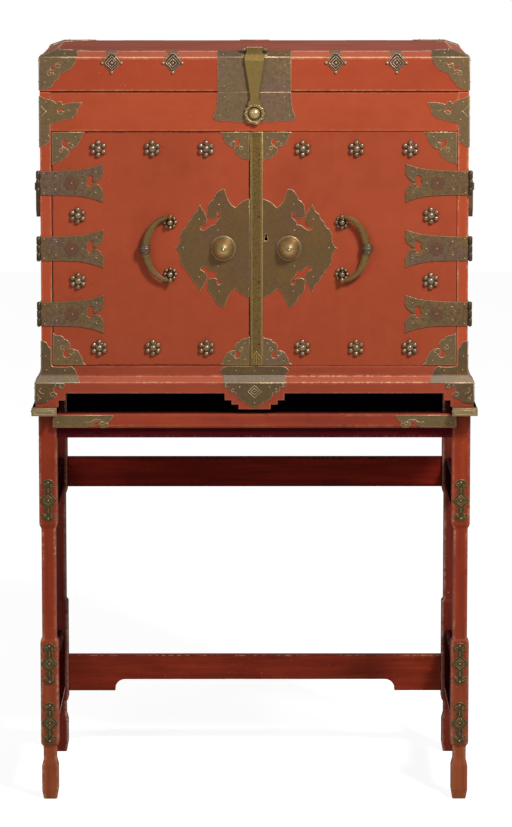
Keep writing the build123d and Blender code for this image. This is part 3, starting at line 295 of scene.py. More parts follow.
def eased(shape, first_face, ease=0.9, band_width=5.0):
    """Ease the sharp edges of the faces added since first_face, and mark the band beside them for the arris
    colour.
    """
    arris_band = shape.verts.layers.float["arris_band"]
    shape.faces.ensure_lookup_table()
    faces = set(shape.faces[first_face:])
    bmesh.ops.recalc_face_normals(shape, faces=list(faces))
    edges = [e for e in shape.edges if len(e.link_faces) == 2 and all(f in faces for f in e.link_faces)]
    sharp = [e for e in edges if e.calc_face_angle() > 0.35]
    made = bmesh.ops.bevel(shape, geom=sharp, offset=ease * mm, segments=2, profile=0.6, affect="EDGES")
    rounds = set(made["faces"])
    shape.faces.ensure_lookup_table()
    flats = [f for f in shape.faces[first_face:] if f not in rounds]
    for face in shape.faces[first_face:]:
        for vert in face.verts:
            vert[arris_band] = 1.0
    for face in flats:
        narrow = min(e.calc_length() for e in face.edges)
        size = face.calc_area() / (face.calc_perimeter() / 2)
        inset = min(band_width * mm, size * 0.36, max(narrow * 0.45, 0.0008))
        before = set(shape.verts)
        bmesh.ops.inset_individual(shape, faces=[face], thickness=inset, use_even_offset=True)
        for vert in face.verts:
            if vert not in before:
                vert[arris_band] = 0.0


def prism(shape, rings, ease=0.9, band_width=5.0):
    """Add a board between two like outlines in millimetres, with eased edges."""
    first_face = len(shape.faces)
    rings = [[shape.verts.new(metres(spot)) for spot in ring] for ring in rings]
    shape.faces.new(rings[0])
    shape.faces.new(rings[1][::-1])
    band(shape, *rings)
    eased(shape, first_face, ease, band_width)


def board(shape, low, high, ease=0.9, band_width=5.0):
    """Add a straight board between two corners in millimetres, with eased edges."""
    flat = [(low[0], low[2]), (high[0], low[2]), (high[0], high[2]), (low[0], high[2])]
    prism(shape, [[(x, y, z) for x, z in flat] for y in (low[1], high[1])], ease, band_width)


# The upper back stretcher is a darker red than the lower one, painted shade under the case, with near-black
# arrises and chips.
rail_lacquer = lacquer(
    "rail_lacquer", (144, 38, 24), (100, 24, 17), (50, 12, 10), 0, 0.5, 1.0, 0.8, 0.5, 0.05, (26, 6, 6),
)
low_rail_lacquer = lacquer(
    "low_rail_lacquer", (158, 56, 30), (116, 36, 20), (70, 22, 14), 0, 0.4, 0.5, 0.7, 0.46, 0.10,
)
# The side rails' very dark red is painted shade on their inner faces; their near-white arris colour is a
# painted reflection of the pale floor, with wear.
side_lacquer = lacquer(
    "side_rail_lacquer", (64, 13, 11), (38, 8, 8), (232, 204, 192), 1, 0.9, 0.6, 0.6, 0.7, 0.0,
)
moulding_lacquer = lacquer(
    "moulding_lacquer", (164, 66, 40), (134, 50, 32), (160, 78, 54), 0, 0.2, 0.12, 0.35, 0.40,
)
# A near-black lacquer used as painted shade, on faces in the dark under the case and inside the stand.
painted_shade = lacquer("painted_shade_wood", (14, 6, 6), (6, 3, 4), (20, 10, 9), 0, 0.2, 0.0, 0.5, 0.9, 0.0, (30, 18, 14))
# The apron rails' deep dark red is painted shade under the planted moulding.
apron_lacquer = lacquer(
    "apron_lacquer", (82, 14, 20), (56, 8, 16), (90, 24, 24), 0, 0.3, 0.08, 0.4, 0.5, 0.04,
)


def painted_shade_faces(normal, centre):
    """The apron rails get painted shade inside, and the back one above and below too."""
    if centre.y > 0:
        return int(normal.y < -0.5 or abs(normal.z) > 0.5)
    return int(centre.y < -0.19 and normal.y > 0.5)


shape = new_shape()
board(shape, (-apron_half, -apron_front, 669.1), (apron_half, -196.5, block_top))
board(shape, (-apron_half, 196.5, 649.6), (apron_half, apron_front, block_top))
mesh = skinned(mesh_of(shape), painted_shade_faces)
fitted("apron_rails_planed", mesh, "cabinet", "stand_lacquer", [apron_lacquer, painted_shade], "apron_rails")

shape = new_shape()
moulding_profile = ((0.0, 0.0), (0.0, 27.0), (8.6, 27.0), (10.5, 25.0), (10.5, 5.0), (8.8, 2.0), (5.5, 0.6))
ends = [
    [(x, -apron_front - out, 686.6 + up) for out, up in moulding_profile]
    for x in (-moulding_half, moulding_half)
]
prism(shape, ends, 0.6, 3.5)
fitted(
    "front_moulding_planed", mesh_of(shape), "cabinet", "stand_lacquer", moulding_lacquer, "front_moulding",
)

shape = new_shape()
for side in (-1, 1):
    for low_z, high_z, half_y, ease in ((rail_low, rail_high, 183.5, 1.5), (122.0, 239.0, 183.8, 3.2)):
        low_x, high_x = sorted((side * 364.0, side * 384.0))
        board(shape, (low_x, -half_y, low_z), (high_x, half_y, high_z), ease)
mesh = mesh_of(shape)
# Only the low boards' lower arris keeps a strong arris colour, the painted reflection of the floor; elsewhere
# it is nearly taken away.
for point, arris_level in zip(mesh.vertices, mesh.attributes["arris_band"].data):
    arris_level.value *= 1.5 if point.co.z < 0.13 else 0.1
fitted("side_rails_planed", mesh, "cabinet", "stand_lacquer", side_lacquer, "side_rails")

shape = new_shape()
board(shape, (-apron_half, 190.0, rail_low), (apron_half, 210.0, rail_high))
fitted(
    "upper_back_stretcher", mesh_of(shape), "cabinet", "stand_lacquer", rail_lacquer, "rear_upper_stretcher",
)

shape = new_shape()
arch = [(357.8, 188), (357.8, 119), (268, 119), (268, 123)]
for step in range(1, 6):
    angle = step * math.pi / 10
    arch.append((268.0 - 18.0 * (1 - math.cos(angle)), 123.0 + 18.0 * math.sin(angle)))
outline = arch + [(-x, z) for x, z in arch[::-1]]
prism(shape, [[(x, y, z) for x, z in outline] for y in (190.0, 210.0)])
fitted(
    "lower_back_stretcher", mesh_of(shape), "cabinet", "stand_lacquer", low_rail_lacquer,
    "rear_lower_stretcher",
)

# ---- stand: runners
# Two flat runners lie across the legs from front to back and stand out past the plinth at both ends.

runner_end = -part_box("runners")[0][1] / mm
runner_top = 726.6
shape = new_shape()
for side in (-1, 1):
    low_x, high_x = sorted((side * 355.5, side * 401.5))
    board(shape, (low_x, -runner_end, block_top), (high_x, runner_end, runner_top), 2.2, 4.0)
runner_lacquer = lacquer(
    "runner_lacquer", (126, 52, 38), (84, 34, 30), (168, 110, 90), 1, 0.5, 0.5, 0.4, 0.42,
)
# The runners' tops and inner sides take the near-black lacquer: painted shade under the case.
mesh = skinned(mesh_of(shape), lambda normal, centre: int(normal.z > 0.5 or normal.x * centre.x < -0.1))
fitted("runners_planed", mesh, "cabinet", "stand_lacquer", [runner_lacquer, painted_shade], "runners")

# ---- case: plinth
# Four boards under the case with a bevelled top edge. The front and back are sawn to stepped feet,
# and the front has a stepped drop in its middle. The bevel's lacquer has rubbed pink and chipped.

straw = (222, 178, 132)
red, red_deep = (177, 77, 45), (163, 68, 39)
plinth_paint = ((158, 70, 46), (142, 60, 38), (176, 96, 70))
bevel_paint = ((180, 92, 68), (166, 80, 56), (206, 136, 112))
red_across = lacquer(
    "red_lacquer_across", red, red_deep, (190, 100, 66), 0, 0.15, 0.1, 0.10, chip_colour=straw, seam=1.2936,
)
plinth_red = lacquer("plinth_lacquer", *plinth_paint, 0, 0.12, 0.08, 0.12, chip_colour=straw)
plinth_side_red = lacquer("plinth_lacquer_deepwise", *plinth_paint, 1, 0.12, 0.08, 0.12, chip_colour=straw)
red_upright = lacquer("red_lacquer_upright", red, red_deep, (204, 120, 96), 2, 0.6, 0.45, 0.10, chip_colour=straw)
bevel_front = lacquer("rubbed_bevel", *bevel_paint, 0, 0.5, 0.9, 0.12, 0.34, chip_colour=(232, 190, 138))
bevel_side = lacquer("rubbed_side_bevel", *bevel_paint, 1, 0.6, 1.0, 0.12, 0.34, chip_colour=(226, 180, 132))
plinth_front, plinth_half, plinth_inner = 231.0, 395.0, 211.0
bevel_foot, plinth_top, bevel_run = 770.6, 782.6, 11.0
case_half, case_front, case_top = 384.0, 220.0, 1293.6
plinth_outline = [
    (plinth_half, bevel_foot), (plinth_half, runner_top), (353.5, runner_top), (353.5, 738.6), (341, 738.6),
    (341, 751.6),
]
drop = [(54, 751.6), (54, 739.1), (41.6, 739.1), (41.6, 731.1), (29, 731.1), (29, 722.6)]


def plinth_skin(axis, least):
    """Finishes of a plinth board that faces along an axis: a rubbed bevel, and painted shade on its inner
    side.
    """
    def choose(normal, centre):
        if abs(normal[axis]) > 0.3 and normal.z > 0.3:
            return 1
        return 2 if normal[axis] * centre[axis] < -least else 0
    return choose


for name, face_y, inner_y, half in (
    ("plinth_front", -plinth_front, -plinth_inner, plinth_outline + drop),
    ("plinth_back", plinth_front, plinth_inner, plinth_outline),
):
    lower = half + [(-x, z) for x, z in half[::-1]]
    upper = [(-case_half, plinth_top), (case_half, plinth_top)]
    lean_y = face_y + math.copysign(bevel_run, -face_y)
    shape = new_shape()
    fore, back, fore_top, back_top = [
        [shape.verts.new(metres((x, y, z))) for x, z in line]
        for line, y in ((lower, face_y), (lower, inner_y), (upper, lean_y), (upper, inner_y))
    ]
    for ring in (
        fore, back + back_top, (fore[0], fore[-1], *fore_top), (fore_top[0], *back_top, fore_top[1]),
        (fore[0], fore_top[1], back_top[1], back[0]), (fore[-1], back[-1], back_top[0], fore_top[0]),
    ):
        shape.faces.new(ring)
    for i in range(len(lower) - 1):
        shape.faces.new((fore[i], back[i], back[i + 1], fore[i + 1]))
    eased(shape, 0, 0.8, 3.0)
    mesh = skinned(mesh_of(shape), plinth_skin(1, 0.0005))
    fitted(name + "_sawn", mesh, "cabinet", "red_lacquer", [plinth_red, bevel_front, painted_shade], name)

shape = new_shape()
section = [
    (375, runner_top), (plinth_half, runner_top), (plinth_half, bevel_foot), (case_half, plinth_top),
    (375, plinth_top),
]
for side in (-1, 1):
    prism(shape, [[(side * x, y, z) for x, z in section] for y in (-plinth_inner, plinth_inner)], 0.8, 3.0)
mesh = skinned(mesh_of(shape), plinth_skin(0, 0.1))
fitted(
    "plinth_sides_sawn", mesh, "cabinet", "red_lacquer", [plinth_side_red, bevel_side, painted_shade], "plinth_sides",
)

# ---- case: boards
# A dovetailed case of broad softwood boards, lacquered red outside and left bare inside.

board_foot = 800.6
side_inner = 364.0
bare_board = lacquer(
    "bare_softwood", (156, 108, 66), (128, 84, 50), (180, 132, 88), 0, 0.3, 0.3, 0.6, 0.6,
    chip_colour=(190, 150, 104),
)


def bare_inside(name):
    """A board of the case is lacquered outside and bare inside: the test for its inner faces."""
    return {
        "case_sides": lambda normal, centre: int(normal.x * centre.x < -0.1),
        "case_back": lambda normal, centre: int(normal.y < -0.5),
        "frieze_board": lambda normal, centre: int(normal.y > 0.5),
        "case_bottom": lambda normal, centre: int(abs(normal.z) > 0.5),
    }[name]


for name, low, high, skin in (
    ("case_sides", (side_inner, -case_front, plinth_top), (case_half, case_front, case_top), red_upright),
    ("case_back", (-side_inner, 208.0, board_foot), (side_inner, case_front, case_top), red_across),
    ("frieze_board", (-side_inner, -case_front, 1223.6), (side_inner, -202.0, case_top), red_across),
    ("case_bottom", (-side_inner, -case_front, plinth_top), (side_inner, case_front, board_foot), plinth_red),
):
    shape = new_shape()
    board(shape, low, high, 0.7, 4.0)
    if name == "case_sides":
        board(shape, (-high[0], low[1], low[2]), (-low[0], high[1], high[2]), 0.7, 4.0)
    slot = "bare_wood" if name == "case_bottom" else "red_lacquer"
    mesh = skinned(mesh_of(shape), bare_inside(name))
    fitted(name + "_boards", mesh, "cabinet", slot, [skin, bare_board], name)


def refinished(names, skin):
    """Give CAD nodes that keep their own shape a better finish."""
    for name in names:
        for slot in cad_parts[name].material_slots:
            slot.material = skin


refinished(("shelf", "tray_floor"), bare_board)

# ---- lid
# The lid is a shallow box with a bevelled top, of boards glued and lacquered as one.

lid_foot, lid_break, lid_top = 1294.4, 1355.4, 1365.4
lid_rings = (
    (case_half, case_front, lid_foot), (case_half, case_front, lid_break), (357.0, 193.0, lid_top),
    (366.0, 202.0, 1347.4), (366.0, 202.0, lid_foot),
)
shape = new_shape()
corners = ((-1, -1), (1, -1), (1, 1), (-1, 1))
rings = [
    [shape.verts.new(metres((sx * half_x, sy * half_y, z))) for sx, sy in corners]
    for half_x, half_y, z in lid_rings
]
for low, high in ((0, 1), (1, 2), (3, 4), (4, 0)):
    band(shape, rings[low], rings[high])
shape.faces.new(rings[2])
shape.faces.new(rings[3][::-1])
eased(shape, 0, 0.9, 4.0)


def lid_skin(normal, centre):
    """The lid's flat top is browned, its inside bare, and its bevel rubbed."""
    if normal.z > 0.97 and centre.z > 1.36:
        return 1
    if abs(centre.x) < 0.3662 and abs(centre.y) < 0.2022 and centre.z < 1.3476:
        return 2
    return 3 if normal.z > 0.2 else 0


lid_brown = lacquer(
    "lid_top_lacquer", (178, 96, 74), (154, 76, 60), (206, 150, 126), 0, 0.7, 0.6, 0.3, 0.5, 0.03, straw,
)
lid_red = lacquer(
    "lid_lacquer", (170, 71, 41), (156, 63, 37), (214, 140, 98), 0, 0.62, 0.35, 0.10, chip_colour=straw, seam=1.2946,
)
lid_bevel = lacquer(
    "lid_bevel_lacquer", (188, 98, 68), (168, 80, 54), (226, 172, 144), 0, 0.8, 0.7, 0.12, chip_colour=straw,
)
lid_skins = [lid_red, lid_brown, bare_board, lid_bevel]
mesh = skinned(mesh_of(shape), lid_skin)
fitted("lid_box", mesh, "lid", "red_lacquer", lid_skins, "lid_top", "lid_long_boards", "lid_ends")

# ---- brass: leg mounts
# Cast and filed sheet brass, a lozenge between cloud lobes, pinned up the front of each front leg.
# All the sheet brass has an olive-brown patina, rubbed pale along its filed edges and raised work.

# The parts laid so far for the mount that is being made, and the places and directions of its pins.
parts, spots = [], []
front = (0, -1, 0)


def brass(name, metal, shade, warm, rough=0.46, mottle=1.0, hammered=0.12, metallic=0.5, fine_scale=170.0):
    """Brass with golden and purple-brown clouds of patina, dark specks and a slightly hammered surface."""
    made, tree, skin = material(name)
    metal, shade, warm = rgb(*metal), rgb(*shade), rgb(*warm)
    place = stretched(tree)
    broad = cloud(tree, stretched(tree, offset=(0.37, 0.11, 0.53)), 11.0, 4.0, 0.6, 0.46, 0.66)
    golden = cloud(tree, stretched(tree, offset=(0.71, 0.23, 0.19)), 15.0, 4.0, 0.6, 0.50, 0.70)
    close = cloud(tree, place, fine_scale, 4.0, 0.65, 0.38, 0.68)
    speck = cloud(tree, place, fine_scale * 2.6, 3.0, 0.6, 0.60, 0.74)
    colour = metal
    for share, strength, tint in (
        (broad, 0.85, warm), (golden, 0.65, tinted(metal, 1.30, 1.16, 0.82)),
        (close, 0.62, shade), (speck, 0.5, tinted(shade, 0.35, 0.35, 0.35)),
    ):
        colour = blend(tree, times(tree, share, strength * mottle), colour, tint)
    skin.inputs["Metallic"].default_value = metallic
    dents = bump(tree, golden, hammered, 0.003)
    pits = bump(tree, close, hammered * 1.6, 0.0004, dents)
    coated(tree, skin, colour, close, (rough - 0.06, rough + 0.14), 0.3, pits)
    return made


plate_brass = brass("plate_brass", (128, 104, 70), (94, 74, 48), (124, 98, 84))
rim_brass = brass("filed_rim", (206, 176, 138), (156, 124, 92), (216, 178, 150), 0.40, 0.6)
pin_brass = brass("pin_heads", (178, 156, 120), (110, 90, 62), (190, 164, 140), 0.34, 0.5)
dark_brass = brass("leg_brass", (84, 68, 38), (52, 42, 24), (88, 70, 46), 0.42)
dark_rim = brass("leg_brass_rim", (160, 134, 90), (96, 78, 48), (160, 130, 98), 0.38, 0.9)
plate_skins = [plate_brass, rim_brass, pin_brass]


def carried(line, at, flip_x=1, flip_z=1, scale=1.0):
    """Carry the points of a line to a place, mirrored or resized if wanted."""
    return [(at[0] + x * scale * flip_x, at[1] + z * scale * flip_z) for x, z in line]


def drawn(points, at=(0.0, 0.0), flip_x=1, steps=5):
    """Points of a clockwise outline; each (x, z, bow) bulges the line that ends there outwards."""
    made = []
    last = points[-1]
    for spot in points:
        bow = spot[2] if len(spot) > 2 else 0.0
        if bow:
            dx, dz = spot[0] - last[0], spot[1] - last[1]
            length = math.hypot(dx, dz)
            for step in range(1, steps):
                share = step / steps
                swell = 4 * share * (1 - share) * bow
                made.append(
                    (last[0] + dx * share - dz / length * swell, last[1] + dz * share + dx / length * swell),
                )
        made.append(spot[:2])
        last = spot
    return carried(made, at, flip_x)


def doubled(half, flip_x, flip_z):
    """Carry a bowed outline on by its mirror image, last point first."""
    bows = [spot[2] if len(spot) > 2 else 0.0 for spot in half[1:]] + [0.0]
    return half + [(flip_x * spot[0], flip_z * spot[1], bow) for spot, bow in zip(half, bows)][::-1]


def facing(origin, across, up):
    """Matrix that lays a flat thing on a surface, its x across, its y up and its thickness outwards."""
    across, up = Vector(across).normalized(), Vector(up).normalized()
    turned = Matrix((across, up, across.cross(up))).transposed().to_4x4()
    return Matrix.Translation(Vector(origin) * mm) @ turned


def on_front(depth, x=0.0, z=0.0):
    """Lay a thing drawn in x and z on an upright face that looks to the front."""
    return facing((x, -depth, z), (1, 0, 0), (0, 0, 1))


def on_side(side, reach):
    """Lay a thing drawn in y and z on the face that looks to one side."""
    return facing((side * reach, 0, 0), (0, side, 0), (0, 0, 1))


def plain_mesh(holder):
    """The finished mesh of a working object, which is then thrown away."""
    bpy.context.view_layer.update()
    mesh = bpy.data.meshes.new_from_object(holder.evaluated_get(bpy.context.evaluated_depsgraph_get()))
    bpy.data.objects.remove(holder)
    return mesh


def bent(loops, height, closed, **settings):
    """The plain mesh of a curve that runs through loops of points in millimetres."""
    curve = bpy.data.curves.new("loops", "CURVE")
    for key, value in settings.items():
        setattr(curve, key, value)
    for loop in loops:
        line = curve.splines.new("POLY")
        line.points.add(len(loop) - 1)
        for spot, (x, z) in zip(line.points, loop):
            spot.co = (x * mm, z * mm, height * mm, 1.0)
        line.use_cyclic_u = closed
    mesh = plain_mesh(placed("holder", curve))
    bpy.data.curves.remove(curve)
    return mesh


def sheet(loops, thickness=1.5, filed=0.55):
    """Cut sheet brass to closed loops in millimetres; inner loops are holes and filed edges get skin 1."""
    mesh = bent(loops, 0.0, True, dimensions="2D", fill_mode="BOTH", bevel_depth=filed * mm,
                extrude=(thickness / 2 - filed) * mm, offset=-filed * mm, bevel_resolution=1)
    mesh.transform(Matrix.Translation((0, 0, thickness / 2 * mm)))
    return skinned(mesh, lambda normal, centre: int(abs(normal.z) <= 0.95))


def wire(lines, thickness=0.9, height=1.5, closed=False, skin=1):
    """Raised work: round lines in millimetres, laid along paths at a height above the wood."""
    mesh = bent(
        lines, height, closed, dimensions="3D", bevel_depth=thickness / 2 * mm, bevel_resolution=1,
        use_fill_caps=True,
    )
    return skinned(mesh, lambda normal, centre: skin)


def curl(centre, radius, start, turns, clockwise=1, inner=0.25, steps=14):
    """A scroll line that winds inwards from its start angle, in degrees."""
    made = []
    for step in range(int(steps * abs(turns)) + 1):
        share = step / (steps * abs(turns))
        angle = math.radians(start - clockwise * 360 * turns * share)
        reach = radius * (1 - (1 - inner) * share)
        made.append((centre[0] + reach * math.cos(angle), centre[1] + reach * math.sin(angle)))
    return made


def domed(tree, segments, rings, radius, height):
    """Geometry nodes for a dome with a radius and a height."""
    ball = first(tree, "GeometryNodeMeshUVSphere", {"Segments": segments, "Rings": rings, "Radius": 1.0})
    size = first(tree, "ShaderNodeCombineXYZ", {"X": radius, "Y": radius, "Z": height})
    return first(tree, "GeometryNodeTransform", {"Geometry": ball, "Scale": size})


def scattered(name, sizes, build):
    """Geometry nodes that set what build makes on every point, turned to face that point's own way."""
    tree = bpy.data.node_groups.new(name, "GeometryNodeTree")
    tree.interface.new_socket("Geometry", in_out="INPUT", socket_type="NodeSocketGeometry")
    for label, value in sizes.items():
        kind = "NodeSocketInt" if isinstance(value, int) else "NodeSocketFloat"
        tree.interface.new_socket(label, in_out="INPUT", socket_type=kind).default_value = value
    tree.interface.new_socket("Brass", in_out="INPUT", socket_type="NodeSocketMaterial")
    tree.interface.new_socket("Geometry", in_out="OUTPUT", socket_type="NodeSocketGeometry")
    given = node(tree, "NodeGroupInput").outputs
    piece = build(tree, given)
    way = node(tree, "GeometryNodeInputNamedAttribute", {"Name": "facing"}, data_type="FLOAT_VECTOR")
    turn = first(tree, "FunctionNodeAlignRotationToVector", {"Vector": way.outputs["Attribute"]}, axis="Z")
    copies = {"Points": given["Geometry"], "Instance": piece, "Rotation": turn}
    many = first(tree, "GeometryNodeInstanceOnPoints", copies)
    solid = first(tree, "GeometryNodeRealizeInstances", {"Geometry": many})
    coloured = first(tree, "GeometryNodeSetMaterial", {"Geometry": solid, "Material": given["Brass"]})
    node(tree, "NodeGroupOutput", {"Geometry": coloured})
    return tree


def pin_head(tree, given):
    """A low domed pin head."""
    return domed(tree, 10, 6, given["Head Radius"], given["Head Height"])


pin_heads = scattered("pin_heads", {"Head Radius": 0.0017, "Head Height": 0.0011}, pin_head)


def grown(tree, spots, settings):
    """Run a geometry nodes tree on spots of (place, direction) and give its plain mesh."""
    seed = bpy.data.meshes.new("points")
    seed.from_pydata([metres(place) for place, _ in spots], [], [])
    way = seed.attributes.new("facing", "FLOAT_VECTOR", "POINT")
    for item, (_, direction) in zip(way.data, spots):
        item.vector = direction
    holder = placed("holder", seed)
    work = holder.modifiers.new("work", "NODES")
    work.node_group = tree
    for item in tree.interface.items_tree:
        if item.item_type == "SOCKET" and item.in_out == "INPUT" and item.name in settings:
            work[item.identifier] = settings[item.name]
    mesh = plain_mesh(holder)
    bpy.data.meshes.remove(seed)
    mesh.materials.clear()
    for face in mesh.polygons:
        face.use_smooth = True
    return mesh


def pins(name, body, spots, radius=1.5, height=1.3, skin=pin_brass):
    """Domed pin heads that hold the brass, one mesh for one body."""
    mesh = grown(pin_heads, spots, {"Head Radius": radius * mm, "Head Height": height * mm, "Brass": skin})
    fitted(name, mesh, body, "aged_brass", skin)


def lay(mesh, matrix=None):
    """Lay one part of the mount that is being made."""
    parts.append((mesh, matrix))


def done(name, body, skins, replaced, pins_name=None, radius=1.5, height=1.3, slot="aged_brass"):
    """Join the parts laid so far into one mount on its body, and drive its pins."""
    shape = bmesh.new()
    for mesh, matrix in parts:
        first_vert = len(shape.verts)
        shape.from_mesh(mesh)
        shape.verts.ensure_lookup_table()
        if matrix is not None:
            bmesh.ops.transform(shape, matrix=matrix, verts=shape.verts[first_vert:])
    fitted(name, mesh_of(shape), body, slot, skins, replaced)
    if pins_name:
        pins(pins_name, body, spots, radius, height)
    parts.clear()
    spots.clear()


leg_mount_quarter = [
    (0, 38.5), (3.5, 38, 0.4), (8.2, 34.6, 1.2), (11.2, 29, 1.2), (11.8, 25.6), (8.6, 23.6, 1), (5.6, 25.2),
    (6.2, 20, -0.8), (7.6, 15.2), (5.2, 12.4), (13.4, 3), (14.5, 0, 0.8),
]
leg_mount_outline = doubled(doubled(leg_mount_quarter, 1, -1), -1, 1)
for level, block in ((142.5, 32.6), (252.5, 32.6), (554.0, 33.0)):
    face_y = leg_y + block / 2
    where = on_front(face_y)
    for side in (-1, 1):
        middle = (side * leg_x, level)
        lay(sheet([drawn(leg_mount_outline, middle)], 1.6, 0.5), where)
        for reach, thick in ((11.6, 1.3), (7.6, 1.2)):
            diamond = [(reach, 0), (0, reach * 0.86), (-reach, 0), (0, -reach * 0.86)]
            lay(wire([carried(diamond, middle)], thick, 1.8, True), where)
        for up in (-1, 1):
            for lean in (-1, 1):
                scroll = curl((middle[0] + lean * 6.4, level + up * 28.6), 3.6, 90 - up * 90, 0.9, lean * up)
                lay(wire([scroll], 1.1, 1.7), where)
            lay(wire([carried([(0, up * 14.0), (0, up * 23.0)], middle)], 1.6, 1.6), where)
            spots.append(((middle[0], -face_y - 1.6, level + up * 33.0), front))
        spots.append(((middle[0], -face_y - 1.6, level), front))
dark_skins = [dark_brass, dark_rim, pin_brass]
done("leg_mounts_cast", "cabinet", dark_skins, "leg_mounts", "leg_mount_pins", 1.9, 1.5)

# ---- brass: runner caps and moulding straps
# Folded caps cover the runners' ends, with a raised border and two pins. Straps with a cloud scroll
# at their inner end are nailed to the ends of the moulding.

cap_x, cap_z = 378.5, 720.1
cap_border = [
    (-22.7, 0), (-22.7, 4.6, 1.2), (-20.5, 6.4), (20.5, 6.4), (22.7, 4.6, 1.2), (22.7, -4.6),
    (20.5, -6.4, 1.2), (-20.5, -6.4), (-22.7, -4.6, 1.2),
]
cap_oval = [(-19.2, 0), (-17.6, 3.2), (17.6, 3.2), (19.2, 0), (17.6, -3.2), (-17.6, -3.2)]
cap_fold = [(-22.6, -8), (-22.6, 6), (-16, 7.5), (0, 6), (16, 7.5), (22.6, 6), (22.6, -8)]
for side in (-1, 1):
    for end in (-1, 1):
        out = facing((side * cap_x, end * runner_end, cap_z), (-end, 0, 0), (0, 0, 1))
        lay(sheet([drawn(cap_border)], 1.6, 0.5), out)
        lay(wire([cap_oval], 1.4, 1.7, True), out)
        over = facing((side * cap_x, end * (runner_end - 7.0), runner_top), (-end, 0, 0), (0, -end, 0))
        lay(sheet([cap_fold], 1.2, 0.4), over)
        for lean in (-1, 1):
            spots.append(((side * cap_x + lean * 14.5, end * (runner_end + 1.4), cap_z), (0, end, 0)))
cap_brass = brass("cap_brass", (146, 134, 92), (104, 92, 60), (140, 122, 92))
cap_skins = [cap_brass, rim_brass, pin_brass]
done("runner_caps", "cabinet", cap_skins, "runner_end_caps", "runner_cap_pins", 1.8, 1.2)

moulding_strap_outline = [
    (0, 0), (0, 22), (109.5, 22), (107, 16.5), (101, 9.5, 0.6), (97, 8), (100.5, 5, 1.2), (98, 1.2, 1.4),
    (90, -0.6, 1), (84, 1.8, 1.2), (82.5, 7, 1), (79, 10.6), (75, 7, -1), (68, 2.2, -0.6), (62, 0),
]
strap_line = [(62, 8.5), (70, 10.5), (76, 14.5), (88, 13.2)]
strap_face = apron_front + 10.5
for side in (-1, 1):
    corner = (side * moulding_half, 689.6)
    lay(sheet([drawn(moulding_strap_outline, corner, -side)], 1.5, 0.5), on_front(strap_face))
    lay(wire([carried(curl((89.5, 6.4), 5.4, 200, 1.1), corner, -side)], 1.0, 1.6), on_front(strap_face))
    lay(wire([carried(strap_line, corner, -side)], 0.9, 1.6), on_front(strap_face))
    for x, z in carried([(9.0, 9.0), (60.0, 9.5), (88.5, 9.0)], corner, -side):
        spots.append(((x, -strap_face - 1.5, z), front))
strap_end_brass = brass("moulding_brass", (126, 104, 66), (92, 74, 46), (126, 100, 76))
end_skins = [strap_end_brass, rim_brass, pin_brass]
done("moulding_strap_ends", "cabinet", end_skins, "moulding_straps", "moulding_strap_pins", 1.6, 1.1)

# ---- brass: frieze and base
# Pierced cloud brackets hold the frieze to the case sides. Angles and folded caps cover the lower
# corners of the case and the plinth, and a stepped shield covers the middle of the plinth.


def flowing(points, *place, steps=4):
    """A closed outline that runs smoothly through its points; a third value of 1 makes a point sharp."""
    made = []
    count = len(points)
    for i in range(count):
        before, one, two, after = (points[(i + k) % count] for k in (-1, 0, 1, 2))
        run = (two[0] - one[0], two[1] - one[1])
        leave = run if len(one) > 2 else ((two[0] - before[0]) / 2, (two[1] - before[1]) / 2)
        reach = run if len(two) > 2 else ((after[0] - one[0]) / 2, (after[1] - one[1]) / 2)
        shares = [0.0] if len(one) > 2 and len(two) > 2 else [k / steps for k in range(steps)]
        for t in shares:
            a, b, c, d = 2 * t**3 - 3 * t**2 + 1, t**3 - 2 * t**2 + t, 3 * t**2 - 2 * t**3, t**3 - t**2
            made.append(tuple(a * one[k] + b * leave[k] + c * two[k] + d * reach[k] for k in (0, 1)))
    return carried(made, *place) if place else made


def pinned(lay_on, x, z, height):
    """Keep a spot for a pin on a laid plate, with the way it faces."""
    place = lay_on @ Vector(metres((x, z, height)))
    spots.append((tuple(c / mm for c in place), tuple(lay_on.to_3x3() @ Vector((0, 0, 1)))))


def plate(spec, origin, lay_on, flip_x=1, flip_z=1, scale=1.0, thickness=1.5, skin=0):
    """Lay a chased plate and keep its pins; spec gives its outline, holes, chased lines and pins."""
    place = (origin, flip_x, flip_z, scale)
    cut = sheet([flowing(loop, *place) for loop in [spec["outline"], *spec.get("holes", ())]], thickness)
    for face in cut.polygons:
        face.material_index = face.material_index or skin
    lay(cut, lay_on)
    line_kinds = (("lines", 0.9, 0.1, 0), ("borders", 1.3, 0.0, 1), ("bright", 1.0, 0.0, 1))
    for kind, width, sunk, line_skin in line_kinds:
        if kind in spec:
            lines = [carried(line, *place) for line in spec[kind]]
            lay(wire(lines, width, thickness - sunk, skin=line_skin), lay_on)
    for x, z in carried(spec.get("pins", ()), *place):
        pinned(lay_on, x, z, thickness)


def both_ways(half):
    """Carry half an outline on by its mirror image; a last point on the axis is kept once."""
    back = half[::-1] if half[-1][0] else half[-2::-1]
    return half + [(-x, *rest) for x, *rest in back]


